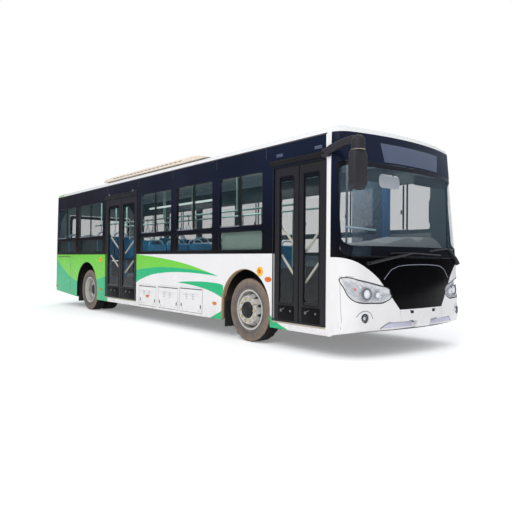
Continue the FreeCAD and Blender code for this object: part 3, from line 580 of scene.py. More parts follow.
def solids_of(name):
    """Boxes of a CAD node's separate solids, as (lowest, highest) corners."""
    bm = bmesh.new()
    bm.from_mesh(nodes[name].data)
    bmesh.ops.remove_doubles(bm, verts=bm.verts, dist=1e-5)
    left, boxes = set(bm.verts), []
    while left:
        found, queue = set(), [left.pop()]
        while queue:
            vert = queue.pop()
            found.add(vert.co.copy().freeze())
            for edge in vert.link_edges:
                other = edge.other_vert(vert)
                if other in left:
                    left.remove(other)
                    queue.append(other)
        boxes.append((Vector([min(p[i] for p in found) for i in range(3)]),
                      Vector([max(p[i] for p in found) for i in range(3)])))
    bm.free()
    return sorted(boxes, key=lambda b: (round(b[0].y, 3), round(b[0].x, 3), round(b[0].z, 3)))


NOSE = tree_of("front_fascia", "front_mask", "windscreen_frame", "windscreen", "headlights", "fog_lamps",
               "side_lower_right", "side_lower_left", "window_band_left", "window_band_right")
TAIL = tree_of("rear_panel", "rear_lid", "rear_window", "tail_lamps")


def on_end(tree, y, z, lift=0.0, sign=1.0):
    """A point on the front (sign 1) or rear (sign -1) skin, and the skin's normal there."""
    place, normal, _, _ = tree.ray_cast(Vector((sign * 9.0, y, z)), Vector((-sign, 0, 0)))
    if place is None:
        near, _, _, _ = tree.find_nearest(Vector((sign * cad_box[1].x, y, z)))
        place, normal = Vector((near.x, y, z)), Vector((sign, 0, 0))
    if normal.x * sign < 0:
        normal = -normal
    return place + normal * lift, normal


def end_line(tree, points, steps=6, closed=False, sign=1.0, lift=0.0):
    """A smooth line through (y, z) points, laid on an end's skin, with its normals."""
    flat = smooth_line([(0, y, z) for y, z in points], steps, closed)
    laid = [on_end(tree, p.y, p.z, lift, sign) for p in flat]
    return [a for a, _ in laid], [b for _, b in laid]


def patch(shape, tree, outline, lift, sign=1.0, rings=5, depth=None):
    """Fills a (y, z) outline with a sheet that follows an end's skin; depth pushes it inwards."""
    centre = Vector((sum(y for y, _ in outline), sum(z for _, z in outline))) / len(outline)
    rows = []
    for k in range(rings + 1):
        share = 1.0 - k / rings
        row = []
        for y, z in outline:
            flat = centre + (Vector((y, z)) - centre) * share
            push = depth(share, flat) if depth else 0.0
            row.append(on_end(tree, flat.x, flat.y, lift - push, sign)[0])
        rows.append(row)
    return shape.loft(rows, caps=False)


PANE = {"roughness": 0.03, "scale": 1.3, "detail": 2.0, "lighter": 1.15, "specular": 0.9, "grain": 3.0}
FINISHES = [
    painted("side_paint", side_colour),
    painted("rear_paint", rear_colour),
    painted("roof_paint", roof_colour),
    black_band(),
    glass("glass", (30, 50, 54), 0.2, **PANE),
    glass("lens_clear", (200, 205, 215), 0.45, **PANE),
    surface("lens_amber", (214, 104, 4), 0.25, coat=0.3, bump=0.1, specular=0.3),
    surface("lens_red", (150, 20, 22), 0.2, coat=0.5, bump=0.1),
    tyre_rubber(),
    surface("rim_silver", (196, 194, 190), 0.34, metallic=0.45, spread=0.1, bump=0.1, dust=0.12),
    surface("chassis_black", (34, 33, 34), 0.6, bump=0.2, dust=0.4),
    surface("flap_rubber", (30, 30, 31), 0.8, bump=0.3),
    surface("mirror_black", (36, 35, 40), 0.55, bump=0.35, bump_scale=900.0, specular=0.3),
    surface("seat_blue", (24, 116, 160), 0.42, spread=0.1, bump=0.1),
    surface("driver_fabric", (44, 47, 56), 0.9, bump=0.4, bump_scale=700.0),
    surface("dash_grey", (78, 82, 86), 0.6, bump=0.3, bump_scale=600.0),
    surface("rail_green", (170, 214, 202), 0.35, coat=0.2),
    surface("floor_vinyl", (96, 98, 100), 0.7, spread=0.2, grain=60.0, bump=0.2),
    surface("door_grey", (29, 28, 33), 0.42, spread=0.12, bump=0.08, specular=0.25),
    surface("pod_tan", (236, 224, 206), 0.6, spread=0.08, grain=3.0, specular=0.3),
    surface("battery_case", (92, 95, 98), 0.55, bump=0.15, dust=0.4),
]
MATERIALS = {g.name: g for g in FINISHES}
for entry in frame["record"]["subparts"]:
    mesh = nodes[entry["node"]].data
    mesh.materials.clear()
    mesh.materials.append(MATERIALS[entry["material_slot"]].material)


# ---------------------------------------------------------------- more finishes
RUBBER = surface("seal_rubber", (12, 12, 15), 0.6, bump=0.2, bump_scale=300.0, specular=0.2)
FRIT = surface("glass_border", (15, 16, 23), 0.14, spread=0.15, grain=2.0, specular=0.25)
BLACK_GLOSS = surface("mask_gloss", (9, 8, 10), 0.1, spread=0.2, grain=2.0, specular=0.05)
CREAM = surface("bar_cream", (222, 220, 200), 0.35, coat=0.3, spread=0.08, grain=8.0)
CHROME = surface("chrome", (205, 206, 208), 0.14, metallic=1.0, spread=0.05)
FACETED = surface("lamp_reflector", (226, 226, 228), 0.22, metallic=0.5, spread=0.5, grain=28.0,
                  bump=1.0, bump_scale=34.0)
KICK_BLACK = surface("kick_black", (11, 11, 13), 0.5, spread=0.3, grain=8.0, specular=0.1)
STRIP_LIGHT = surface("strip_light", (232, 236, 234), 0.5)
STRIP_LIGHT.set(emission_color=srgb(214, 236, 228), emission_strength=0.7)
BOWL_RIM = surface("lamp_bowl_rim", (84, 86, 92), 0.15, metallic=0.6, spread=0.2, grain=20.0)
LINK_GREY = surface("linkage_grey", (112, 108, 104), 0.5, metallic=0.5, spread=0.3, grain=40.0)
STEEL_TRIM = surface("trim_grey", (128, 132, 146), 0.3, metallic=0.4, coat=0.3)
# Dark seam lines; on the service hatches the same finish draws painted shadow lines along the hinge
SEAM_AND_SHADOW_LINE = surface("seam_and_shadow_line_dark", (74, 66, 64), 0.8, spread=0.2)
LIP_SHADE = surface("recess_shade", (196, 196, 214), 0.5, spread=0.04)
CAP_CREAM = surface("nut_caps", (196, 184, 158), 0.5, spread=0.15, grain=20.0, bump=0.1)
HUB_BLACK = surface("hub_black", (22, 22, 24), 0.5, spread=0.2, bump=0.3, bump_scale=200.0, specular=0.35)
BUTTON_YELLOW = surface("button_yellow", (238, 180, 24), 0.4, coat=0.1)
DISPLAY = surface("blank_display", (70, 79, 102), 0.22, coat=0.3, spread=0.22, grain=1.2)
MIRROR_GLASS = surface("mirror_glass", (190, 196, 200), 0.04, metallic=1.0, spread=0.02)
SCREEN = glass("windscreen_glass", (78, 98, 112), 0.15)
PARTITION = glass("partition_glass", (90, 110, 126), 0.6, 0.2)
GREY_PANEL = surface("grey_panel", (112, 116, 116), 0.6, spread=0.08, grain=4.0, bump=0.2)
DARK_PANEL = surface("dark_panel", (34, 44, 46), 0.4, spread=0.3, grain=3.0)
DOOR_PANE = glass("door_glass", (38, 50, 56), 0.14)
LEAVES = ["front_door_front", "front_door_rear", "mid_door_front", "mid_door_rear"]
panes = [(leaf + "_glass", DOOR_PANE) for leaf in LEAVES]
for node, finish in [("windscreen", SCREEN), ("front_mask", BLACK_GLOSS)] + panes:
    nodes[node].data.materials[0] = finish.material
PALE_BLIND = surface("window_blind", (150, 172, 160), 0.85, spread=0.1, grain=12.0, bump=0.3,
                     bump_scale=500.0)
BLUE_PANEL = surface("blue_panel", (42, 92, 138), 0.5, spread=0.1, bump=0.1)
SILL_TAN = surface("sill_edge", (186, 176, 158), 0.4, metallic=0.5, spread=0.15, grain=15.0, bump=0.2)
ARCH_RUST = surface("arch_lip", (176, 150, 116), 0.8, spread=0.3, grain=10.0, bump=0.4, bump_scale=120.0)
LENS = glass("lens_cover", (225, 230, 238), 0.16)
RED_LENS = surface("lamp_red", (165, 18, 20), 0.15, coat=0.6, spread=0.15, grain=40.0, bump=0.5,
                   bump_scale=160.0)
WHITE_TRIM = surface("trim_white", (232, 232, 236), 0.25, coat=0.4, spread=0.03)
PALE_LOOP = surface("grab_loop", (150, 182, 196), 0.35, coat=0.2)


# ---------------------------------------------------------------- wheels
def tyre_ring(shape, centre, outward, half, radius, bead):
    """Tyre with grooves between its ribs, and sipes across its shoulders."""
    grooves = [-0.6, -0.54, -0.18, -0.12, 0.12, 0.18, 0.54, 0.6]
    plain = [-0.8, -0.62, -0.52, -0.2, -0.1, 0.1, 0.2, 0.52, 0.62, 0.8]
    wall = [(0.8, 0.014), (0.93, 0.03), (0.985, 0.075), (1.0, 0.085), (0.985, 0.1), (0.96, 0.13),
            (0.86, 0.155), (0.84, 0.158)]
    outer = [(share * half, radius - drop) for share, drop in wall]
    outer += [(0.8 * half, bead + 0.008), (0.78 * half, bead)]
    inner = [(-along, r) for along, r in reversed(outer)]
    rings = []
    for k, angle in enumerate(turned(96)):
        line = []
        for share in sorted(grooves + plain):
            sipe = 0.009 if k % 4 == 0 and abs(share) > 0.61 else 0.0
            cut = 0.013 if share in grooves else sipe
            line.append((share * half, radius - cut - 0.004 * share * share))
        rings.append([(centre.x + cos(angle) * r, centre.y + outward * a, centre.z + sin(angle) * r)
                      for a, r in inner + line + outer])
    shape.loft(rings, round_again=True)


NUT_CIRCLE, BOLT_CIRCLE = 0.1675, 0.079  # radii


def wheel_trim(body, side, centre, face, deep):
    """Nut caps, hub bolts, hub cover and valve on a wheel's face; deep is how far its hub stands out."""
    out = (0, side, 0)

    def on_circle(angle, radius, away):
        return centre.x + radius * cos(angle), face + side * away, centre.z + radius * sin(angle)

    caps, bolts, cover, valve = shapes(4)
    for angle in turned(10):
        caps.lathe([(0, 0), (0, 0.023), (0.012, 0.022), (0.03, 0.017), (0.036, 0.01), (0.037, 0)],
                   on_circle(angle, NUT_CIRCLE, 0), out, 12)
    for angle in turned(8):
        foot = on_circle(angle + pi / 8, BOLT_CIRCLE, 0.036 + deep)
        bolts.lathe([(0, 0), (0, 0.008), (0.006, 0.008), (0.008, 0.006), (0.0085, 0)], foot, out, 6)
    hub = [(0, 0), (0, 0.123), (0.013, 0.12), (0.034, 0.102), (0.037, 0.092), (0.037, 0.066),
           (0.042, 0.06), (0.044, 0.04), (0.0445, 0)]
    cover.lathe([(a + deep, r) for a, r in hub], (centre.x, face, centre.z), out, 32)
    valve.tube([(centre.x + x, face + side * y, centre.z + z)
                for x, y, z in ((0.2, -0.05, 0.1), (0.185, -0.01, 0.092), (0.165, 0.012, 0.08))], 0.005, 8)
    caps.done(body + "_nut_caps", "rim_silver", CAP_CREAM, body)
    bolts.done(body + "_hub_bolts", "chassis_black", HUB_BLACK, body)
    cover.done(body + "_hub_cover", "chassis_black", HUB_BLACK, body)
    valve.done(body + "_valve", "chassis_black", HUB_BLACK, body)


def wheels():
    for side, name in SIDES:
        for node, body in (("front_tyre_" + name, "front_wheel_" + name),
                           ("rear_tyres_" + name, "rear_wheels_" + name)):
            shape = Shape()
            for low, high in solids_of(node):
                radius = (high.z - low.z) / 2
                tyre_ring(shape, (low + high) / 2, side, (high.y - low.y) / 2, radius, radius - 0.179)
            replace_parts(shape.done(node + "_tread", "tyre", body=body, crease=50.0), node)
        low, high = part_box("front_rim_" + name)
        face = (high.y if side > 0 else low.y) - side * 0.032
        wheel_trim("front_wheel_" + name, side, (low + high) / 2, face, 0)
        low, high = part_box("rear_rims_" + name)
        wheel_trim("rear_wheels_" + name, side, (low + high) / 2, 0.5 * (low.y + high.y) + side * 0.066, 0.1)


# ---------------------------------------------------------------- window bands
def opening_boxes(side):
    """The (x0, x1, z0, z1) of each pane opening on a side; sliding panes of one opening join."""
    found = []
    for low, high in solids_of("side_glass"):
        if (low.y > 0) != (side > 0):
            continue
        for box in found:
            if abs(box[2] - low.z) < 0.01 and low.x < box[1] and high.x > box[0]:
                box[0], box[1] = min(box[0], low.x), max(box[1], high.x)
                break
        else:
            found.append([low.x, high.x, low.z, high.z])
    return found


LOWER_PANE = 0.4  # an opening that isn't higher is a lower pane
PLEATS = 40


def windows():
    seals, rails, locks, posts, blinds, dark, grey = shapes(7)
    for side in (RIGHT, LEFT):
        wall = side * SIDE_Y
        for x0, x1, z0, z1 in opening_boxes(side):
            seals.on_wall(rounded_loop(x0, x1, z0, z1, 0.045), 0.016, 0.002, side, closed=True)
            if z1 - z0 > LOWER_PANE:
                middle = 0.5 * (x0 + x1) + 0.012
                seals.on_wall([(middle, z0), (middle, z1)], 0.026, 0.002, side, sink=0.012)
                rails.on_wall([(x0 + 0.05, z0 + 0.006), (middle - 0.02, z0 + 0.006)], 0.016, 0.005, side,
                              sink=0.012)
                posts.box(middle - 0.075, middle - 0.045, wall - side * 0.03, wall - side * 0.018,
                          z0 + 0.02, z1 - 0.02, 0.004)
                locks.box(middle - 0.1, middle - 0.075, wall - side * 0.03, wall - side * 0.046,
                          z0 + 0.26, z0 + 0.33, 0.004)
            elif side < 0 and x0 > at(-1.0):
                pleats = [(x0 + 0.02 + (x1 - x0 - 0.04) * i / PLEATS, 0.045 - SIDE_Y + 0.004 * sin(i * 1.9))
                          for i in range(PLEATS + 1)]
                blinds.grid([[(x, y, z) for x, y in pleats] for z in (z0 - 0.02, z1 + 0.02)])
            elif x1 < at(-5.0) or x0 > at(0.4):
                panel = dark if x1 < at(-5.0) else grey
                panel.box(x0 - 0.02, x1 + 0.02, wall - side * 0.055, wall - side * 0.059,
                          z0 - 0.02, z1 + 0.02)
    seals.done("window_seals", "flap_rubber", RUBBER)
    rails.done("window_rails", "rim_silver", STEEL_TRIM)
    posts.done("window_posts", "band_black", RUBBER)
    locks.done("window_locks", "mirror_black")
    blind = blinds.done("lower_pane_blind", "seat_blue", PALE_BLIND)
    dark.done("rear_lower_panels", "dash_grey", DARK_PANEL)
    grey.done("driver_side_panel", "dash_grey", GREY_PANEL)


# ---------------------------------------------------------------- doors
def door_leaf(node, body):
    """Black glass border, cream-covered bars, edge seal, kick plate and the linkage at the leaf's foot."""
    low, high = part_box(node)
    pane_low, pane_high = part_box(node + "_glass")
    x0, x1, z0, z1 = pane_low.x, pane_high.x, pane_low.z, pane_high.z
    middle, face, foot = 0.5 * (x0 + x1), low.y, low.z + 0.15
    border, seal, plate, linkage, sleeves = shapes(5)
    outer = rounded_loop(x0 + 0.002, x1 - 0.002, z0 + 0.002, z1 - 0.002, 0.024)
    inner = rounded_loop(x0 + 0.014, x1 - 0.014, z0 + 0.04, z1 - 0.07, 0.03)
    border.loft([[(u, pane_low.y - out, v) for u, v in loop] for out, loop in
                 ((0.003, outer), (0.003, inner), (0.0005, inner), (0.0005, outer))], round_again=True)
    seal.strip([(u, face, v) for u, v in rounded_loop(x0, x1, z0, z1, 0.026)], OUT_RIGHT, 0.014, 0.003,
               closed=True)
    plate.box(x0 - 0.02, x1 + 0.02, face - 0.004, face, low.z + 0.02, z0 - 0.02, 0.002)
    linkage.tube([(middle - 0.09 + 0.0225 * k, face - 0.008, foot + 0.035 * sin(pi * k / 8))
                  for k in range(4)], 0.006, 8)
    for across, radius in ((-0.09, 0.022), (0.09, 0.016)):
        linkage.lathe([(0, 0), (0, radius), (0.006, radius - 0.002), (0.008, 0)],
                      (middle + across, face - 0.004, foot), OUT_RIGHT, 16)
    for top in (1.69, 1.29):
        ends = [Vector((x, high.y - 0.013, z)) for x, z in ((x0 - 0.043, top), (x1 + 0.043, top - 0.39))]
        if node.endswith("_front"):
            ends[0].x, ends[1].x = ends[1].x, ends[0].x
        sleeves.tube([ends[0].lerp(ends[1], t) for t in (0.04, 0.35, 0.65, 0.96)], 0.0165, 14)
    border.done(node + "_border", "band_black", FRIT, body)
    seal.done(node + "_seal", "flap_rubber", RUBBER, body)
    plate.done(node + "_kick_plate", "band_black", KICK_BLACK, body)
    linkage.done(node + "_linkage", "rim_silver", LINK_GREY, body)
    sleeves.done(node + "_bar_sleeves", "rail_green", CREAM, body)


def doorways():
    lips, header, motors, sill, gutter, tags = shapes(6)
    wall = -SIDE_Y
    for name, front in (("front_door", True), ("mid_door", False)):
        front_low, front_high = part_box(name + "_front")
        x0, x1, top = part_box(name + "_rear")[0].x - 0.012, front_high.x + 0.012, front_high.z
        header.box(x0, x1, wall + 0.004, wall + 0.03, top + 0.002, top + 0.012, 0.002)
        reach = 0.036 if front else 0.016
        hood = [(0, 0.036), (0.3 * reach, 0.041), (reach, 0.07), (reach, 0.088), (0, 0.117)]
        end = x1 if front else x1 + 0.045
        gutter.slab([(wall - out, top + up) for out, up in hood], x0 - 0.045, end, 0.002)
        back, fore, up = x0 - 0.004, x1 + 0.004, top + 0.014
        lips.on_wall([(back, 0.38), (back, up), (fore, up), (fore, 0.38)], 0.016, 0.004)
        sill.strip([(x0, wall - 0.001, 0.366), (x1, wall - 0.001, 0.366)], OUT_RIGHT, 0.02, 0.005)
        for share in (-0.26, 0.26):
            centre = 0.5 * (x0 + x1) + share * (x1 - x0)
            motors.box(centre - 0.09, centre + 0.05, wall + 0.055, wall + 0.1, top - 0.06, top - 0.03, 0.006)
            motors.tube([(centre - 0.15, wall + 0.06, top - 0.05), (centre, wall + 0.07, top - 0.045),
                         (centre + 0.12, wall + 0.06, top - 0.05)], 0.008, 8)
        if front:
            for x in (x0 + 0.06, x1 - 0.2):
                tags.box(x, x + 0.13, wall - 0.002, wall, top + 0.155, top + 0.195, 0.001)
        x, y = front_low.x, front_low.y
        meeting = Shape().box(x - 0.001, x + 0.01, y - 0.006, y + 0.006, front_low.z, top, 0.004)
        meeting.done(name + "_front_meeting_seal", "flap_rubber", RUBBER, name + "_front_leaf")
    for station, z in ((-4.79, 2.58), (-3.67, 2.57)):
        tags.lathe([(0, 0), (0, 0.03), (0.01, 0.028), (0.016, 0.018), (0.018, 0)],
                   (at(station), wall, z), OUT_RIGHT, 20)
    for leaf in LEAVES:
        door_leaf(leaf, leaf + "_leaf")
    header.done("door_headers", "band_black", RUBBER)
    lips.done("door_frame_lips", "door_grey")
    sill.done("door_sill_edges", "rim_silver", SILL_TAN)
    motors.done("door_motors", "rim_silver", STEEL_TRIM)
    gutter.done("door_gutters", "door_grey", RUBBER)
    tags.done("door_blank_tags", "band_black", DISPLAY)


# ---------------------------------------------------------------- front end
# Outline of the right headlamp as (y, z) points
HEADLAMP = [(-1.236, 1.002), (-1.08, 0.972), (-0.93, 0.94), (-0.78, 0.905), (-0.64, 0.866), (-0.6, 0.768),
            (-0.75, 0.695), (-0.92, 0.694), (-1.09, 0.702), (-1.182, 0.755), (-1.22, 0.86)]


def mirrored(points, side):
    """(y, z) points drawn on the right side, for either side."""
    return [(y if side < 0 else -y, z) for y, z in points]


def headlamp(side, name):
    outline = mirrored(HEADLAMP, side)
    loop = [(p.y, p.z) for p in smooth_line([(0, y, z) for y, z in outline], 4, closed=True)]
    bezel, dish, bowls, bright, lens, amber, bulbs = shapes(7)
    bezel.on_end(NOSE, outline, 0.012, 0.003, 4, closed=True, sink=0.03)

    def depth(share, flat):
        ripple = 0.006 * sin(flat.x * 95.0) * sin(flat.y * 110.0)
        return 0.006 + 0.034 * sqrt(max(0, 1.0 - share ** 3)) + ripple * (1.0 - share ** 4)

    patch(dish, NOSE, loop, 0, rings=12, depth=depth)
    for cup, y, z, radius in ((bowls, 0.975, 0.805, 0.07), (bright, 0.815, 0.79, 0.05)):
        centre, normal = on_end(NOSE, y * side, z, -0.024)
        ahead = (normal + Vector((1.5, 0, 0))).normalized()
        cup.lathe([(-0.01, 0), (-0.006, radius * 0.55), (0.012, radius * 0.9), (0.02, radius),
                   (0.022, radius * 1.05), (0.016, radius * 1.07), (-0.012, radius * 0.9)], centre, ahead, 28)
        bulbs.lathe([(-0.006, 0), (-0.002, radius * 0.6), (0.01, radius * 0.76), (0.022, radius * 0.5),
                     (0.028, 0)], centre, ahead, 24)
    centre, normal = on_end(NOSE, 1.13 * side, 0.862, -0.02)
    amber.lathe([(0, 0), (0, 0.017), (0.008, 0.014), (0.012, 0)], centre, normal, 16)
    patch(lens, NOSE, loop, -0.0005, rings=6)
    bezel.done("headlamp_bezel_" + name, "mirror_black", RUBBER)
    dish.done("headlamp_reflector_" + name, "lens_clear", FACETED, crease=20.0)
    bowls.done("headlamp_bowls_" + name, "rim_silver", BOWL_RIM)
    bright.done("headlamp_cups_" + name, "rim_silver", CHROME)
    bulbs.done("headlamp_bulbs_" + name, "lens_clear", WHITE_TRIM)
    amber.done("headlamp_turn_" + name, "lens_amber")
    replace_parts(lens.done("headlamp_lens_" + name, "lens_clear", LENS), "headlights")


def fog_lamp(side, name):
    y, z = 1.02 * side, 0.515
    centre = Vector((on_end(TREE_FASCIA, y, z + 0.07)[0].x, y, z))
    ring, bowl, bulb, lens, brow = shapes(5)
    for shape, profile, count in (
            (ring, [(-0.03, 0.052), (-0.03, 0.058), (-0.002, 0.058), (0.001, 0.055), (0.001, 0.05),
                    (-0.01, 0.047)], 32),
            (bowl, [(-0.04, 0), (-0.038, 0.02), (-0.026, 0.04), (-0.01, 0.05)], 32),
            (bulb, [(-0.036, 0), (-0.034, 0.026), (-0.018, 0.03), (-0.008, 0.018), (-0.006, 0)], 20),
            (lens, [(-0.004, 0.05), (0.002, 0.04), (0.006, 0.022), (0.007, 0)], 32)):
        shape.lathe(profile, centre, FORWARD, count)
    arc = ((-0.105, -0.01), (-0.075, 0.06), (0, 0.088), (0.07, 0.066), (0.115, 0.02))
    brow.on_end(TREE_FASCIA, [(y + side * across, z + up) for across, up in arc], 0.008, 0.0025, 6)
    ring.done("fog_ring_" + name, "mirror_black", RUBBER)
    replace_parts(bowl.done("fog_bowl_" + name, "rim_silver", FACETED), "fog_lamps")
    bulb.done("fog_bulb_" + name, "lens_clear", WHITE_TRIM)
    lens.done("fog_lens_" + name, "lens_clear", LENS)
    brow.done("fog_brow_" + name, "side_paint", STEEL_TRIM)


def mask_and_bumper():
    """Trims and seams of the mask and bumper, and painted shade on the floors of the bumper's blank recesses.
    """
    trims, seams, lips, inserts, floors = shapes(5)
    arc = [(0, 1.165), (-0.25, 1.16), (-0.45, 1.145), (-0.52, 1.125), (-0.59, 1.1), (-0.655, 1.045),
           (-0.72, 0.98)]
    lip = [(-0.79, 0.38), (-0.755, 0.405), (-0.69, 0.44), (-0.62, 0.45), (-0.3, 0.452), (-0.235, 0.452)]
    recess = [(-0.765, 0.385), (-0.215, 0.382), (-0.242, 0.444), (-0.675, 0.442)]
    for side in (RIGHT, LEFT):
        trims.on_end(NOSE, mirrored(arc, side), 0.011, 0.004, 4)
        for shape, points, width, height in (
                (lips, lip, 0.018, 0.004),
                (lips, [(-0.232, 0.452), (-0.21, 0.41), (-0.205, 0.38)], 0.008, 0.003),
                (seams, [(-0.459, 0.38), (-0.459, 0.45), (-0.459, 0.598)], 0.005, 0.0006),
                (seams, [(-1.235, 1.02), (-1.15, 1.012)], 0.006, 0.001),
                (seams, [(-1.2415, 0.38), (-1.2415, 0.66), (-1.2415, 1.02)], 0.004, 0.0006)):
            shape.on_end(TREE_FASCIA, mirrored(points, side), width, height)
        x = on_end(TREE_FASCIA, side * 0.3, 0.563)[0].x
        inserts.box(x - 0.035, x + 0.001, side * 0.196, side * 0.284, 0.542, 0.585, 0.002)
        # painted shade: the recess floors are pale lavender, standing in for the shade inside the recesses
        patch(floors, TREE_FASCIA, dense_loop(mirrored(recess, side), 8, 0), 0.002, rings=4)
    trims.done("mask_arc_trim", "mirror_black", STEEL_TRIM)
    lips.done("bumper_lips", "side_paint", STEEL_TRIM)
    seams.done("front_seams", "flap_rubber", SEAM_AND_SHADOW_LINE)
    inserts.done("bumper_inserts", "mirror_black", RUBBER)
    floors.done("bumper_recess_floors", "side_paint", LIP_SHADE)


def destination_window():
    """A blank display behind the upper glass, wider at its top."""
    outline = dense_loop([(-0.64, 2.69), (0.64, 2.69), (0.59, 2.452), (-0.59, 2.452)], 12)
    patch(Shape(), NOSE, outline, 0.005, rings=10).done("destination_display", "band_black", DISPLAY)


def windscreen_border():
    """Black ceramic border round the windscreen, and its gasket."""
    outer = dense_loop(rounded_loop(-1.234, 1.234, 1.266, 2.426, 0.06, 6), 8)
    inner = dense_loop(rounded_loop(-1.222, 1.222, 1.39, 2.372, 0.09, 6), 8)
    rows = [[on_end(NOSE, *Vector(a).lerp(Vector(b), share), 0.004)[0] for a, b in zip(outer, inner)]
            for share in (0, 0.5, 1.0)]
    Shape().loft(rows, caps=False).done("windscreen_border", "band_black", FRIT)
    foot = [(y, 1.252) for y in (-1.225, -0.9, -0.45, 0, 0.45, 0.9, 1.225)]
    Shape().on_end(NOSE, foot, 0.012, 0.004, 4).done("windscreen_gasket", "flap_rubber", RUBBER)


def wiper(name, points, blade):
    """A tapered arm from its cap to the blade's middle, and a blade with its carriers."""
    arm, rubber = Shape(), Shape()
    line, normals = end_line(NOSE, points, 6, lift=0.03)
    count = len(line)
    arm.tube(line, [0.022 - 0.01 * i / count for i in range(count)], 8, flat=1.5)
    cap, normal = on_end(NOSE, *points[0], lift=-0.004)
    arm.lathe([(0, 0), (0, 0.026), (0.03, 0.026), (0.042, 0.018), (0.044, 0)], cap, normal, 20)
    line, normals = end_line(NOSE, blade, 5, lift=0.014)
    arm.tube(line, 0.01, 8, flat=1.6)
    rubber.strip([p - n * 0.008 for p, n in zip(line, normals)], normals, 0.006, 0.006, sink=0.004)
    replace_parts(arm.done("wiper_arm_" + name, "mirror_black", HUB_BLACK), "wipers")
    rubber.done("wiper_blade_" + name, "flap_rubber", RUBBER)


TREE_FASCIA = tree_of("front_fascia", "front_mask", "side_lower_right", "side_lower_left")


def front_end():
    for side, name in SIDES:
        headlamp(side, name)
        fog_lamp(side, name)
    mask_and_bumper()
    destination_window()
    windscreen_border()
    wiper("right", [(-0.959, 1.175), (-0.6, 1.245), (-0.212, 1.309)],
          [(-0.62, 1.3), (-0.212, 1.309), (0.15, 1.3), (0.476, 1.291)])
    wiper("left", [(1.087, 1.179), (0.92, 1.29), (0.733, 1.381)],
          [(0.18, 1.34), (0.45, 1.365), (0.733, 1.381), (1.0, 1.375)])


# ---------------------------------------------------------------- side walls
SKIRT = 0.29  # height of the wheel openings' lower ends
SMALL_LENS = (0.056, 0.026)  # half length and half height of a small marker lamp


def lens_profile(stand):
    """(out, share) points of a marker lamp's lens that stands on a base."""
    return [(0, 1.0), (stand, 1.0), (stand + 0.005, 0.82), (stand + 0.007, 0.5), (stand + 0.0075, 0.05)]


def wheel_arch(shape, station, z, radius, side, lined):
    """A lip round a wheel opening, and where lined a sheet behind it."""
    middle, out = at(station), SIDE_Y - 0.0255
    line = [(middle + radius * cos(t), z + radius * sin(t)) for t in (pi * k / 32 for k in range(33))]
    line = [Vector((x, side * out, up)) for x, up in [(line[0][0], SKIRT)] + line + [(line[-1][0], SKIRT)]]
    inward = [(Vector((middle, p.y, min(z, p.z))) - p).normalized() for p in line]
    shape.strip(line, inward, 0.05, 0.008, sink=0.0)
    if lined:
        inside = [p + n * 0.004 for p, n in zip(line, inward)]
        shape.grid([[(p.x, side * (SIDE_Y - depth), p.z) for p in inside] for depth in (0.004, 0.04, 0.075)])


def side_details():
    seams, buttons, rims, lamps, arch, rear_arch = shapes(6)
    seams.on_wall([(at(-7.074), 0.3), (at(-7.074), 1.235)], 0.008, 0.0008)
    for station in (-4.9, -3.42, -2.11, -0.76, 0.44):
        seams.on_wall([(at(station), 2.62), (at(station), 2.775)], 0.006, 0.0008)
    seams.on_wall([(at(-8.02), 1.245), (at(-7.075), 1.245)], 0.016, 0.004)
    for side in (RIGHT, LEFT):
        seams.on_wall([(TAIL_X + 0.3, 2.782), (at(NOSE_SEAM), 2.782)], 0.016, 0.004, side)
        wheel_arch(arch, -0.03, 0.495, 0.578, side, True)
        wheel_arch(rear_arch, -6.025, 0.515, 0.605, side, False)
    for station, z in ((0.324, 1.043), (-5.227, 1.176)):
        foot = (at(station), -SIDE_Y, z)
        rims.lathe([(0, 0), (0, 0.066), (0.008, 0.066), (0.014, 0.058), (0.014, 0.038), (0.005, 0.035),
                    (0.005, 0)], foot, OUT_RIGHT, 32)
        buttons.lathe([(0.003, 0), (0.003, 0.03), (0.009, 0.028), (0.011, 0.018), (0.012, 0)], foot,
                      OUT_RIGHT, 24)
    for low, high in solids_of("side_markers"):
        centre = (low + high) / 2
        half_x, half_z = (0.07, 0.036) if high.z - low.z > 0.04 else SMALL_LENS
        lamps.oval(centre.x, centre.z, half_x, half_z, lens_profile(0.006), LEFT if centre.y > 0 else RIGHT)
    seams.done("side_seams", "flap_rubber", SEAM_AND_SHADOW_LINE)
    rims.done("button_rims", "lens_amber", BUTTON_YELLOW)
    buttons.done("button_caps", "lens_amber")
    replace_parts(lamps.done("marker_lenses", "lens_amber"), "side_markers")
    arch.done("front_arch_lips", "chassis_black", ARCH_RUST)
    rear_arch.done("rear_arch_lips", "chassis_black", RUBBER)


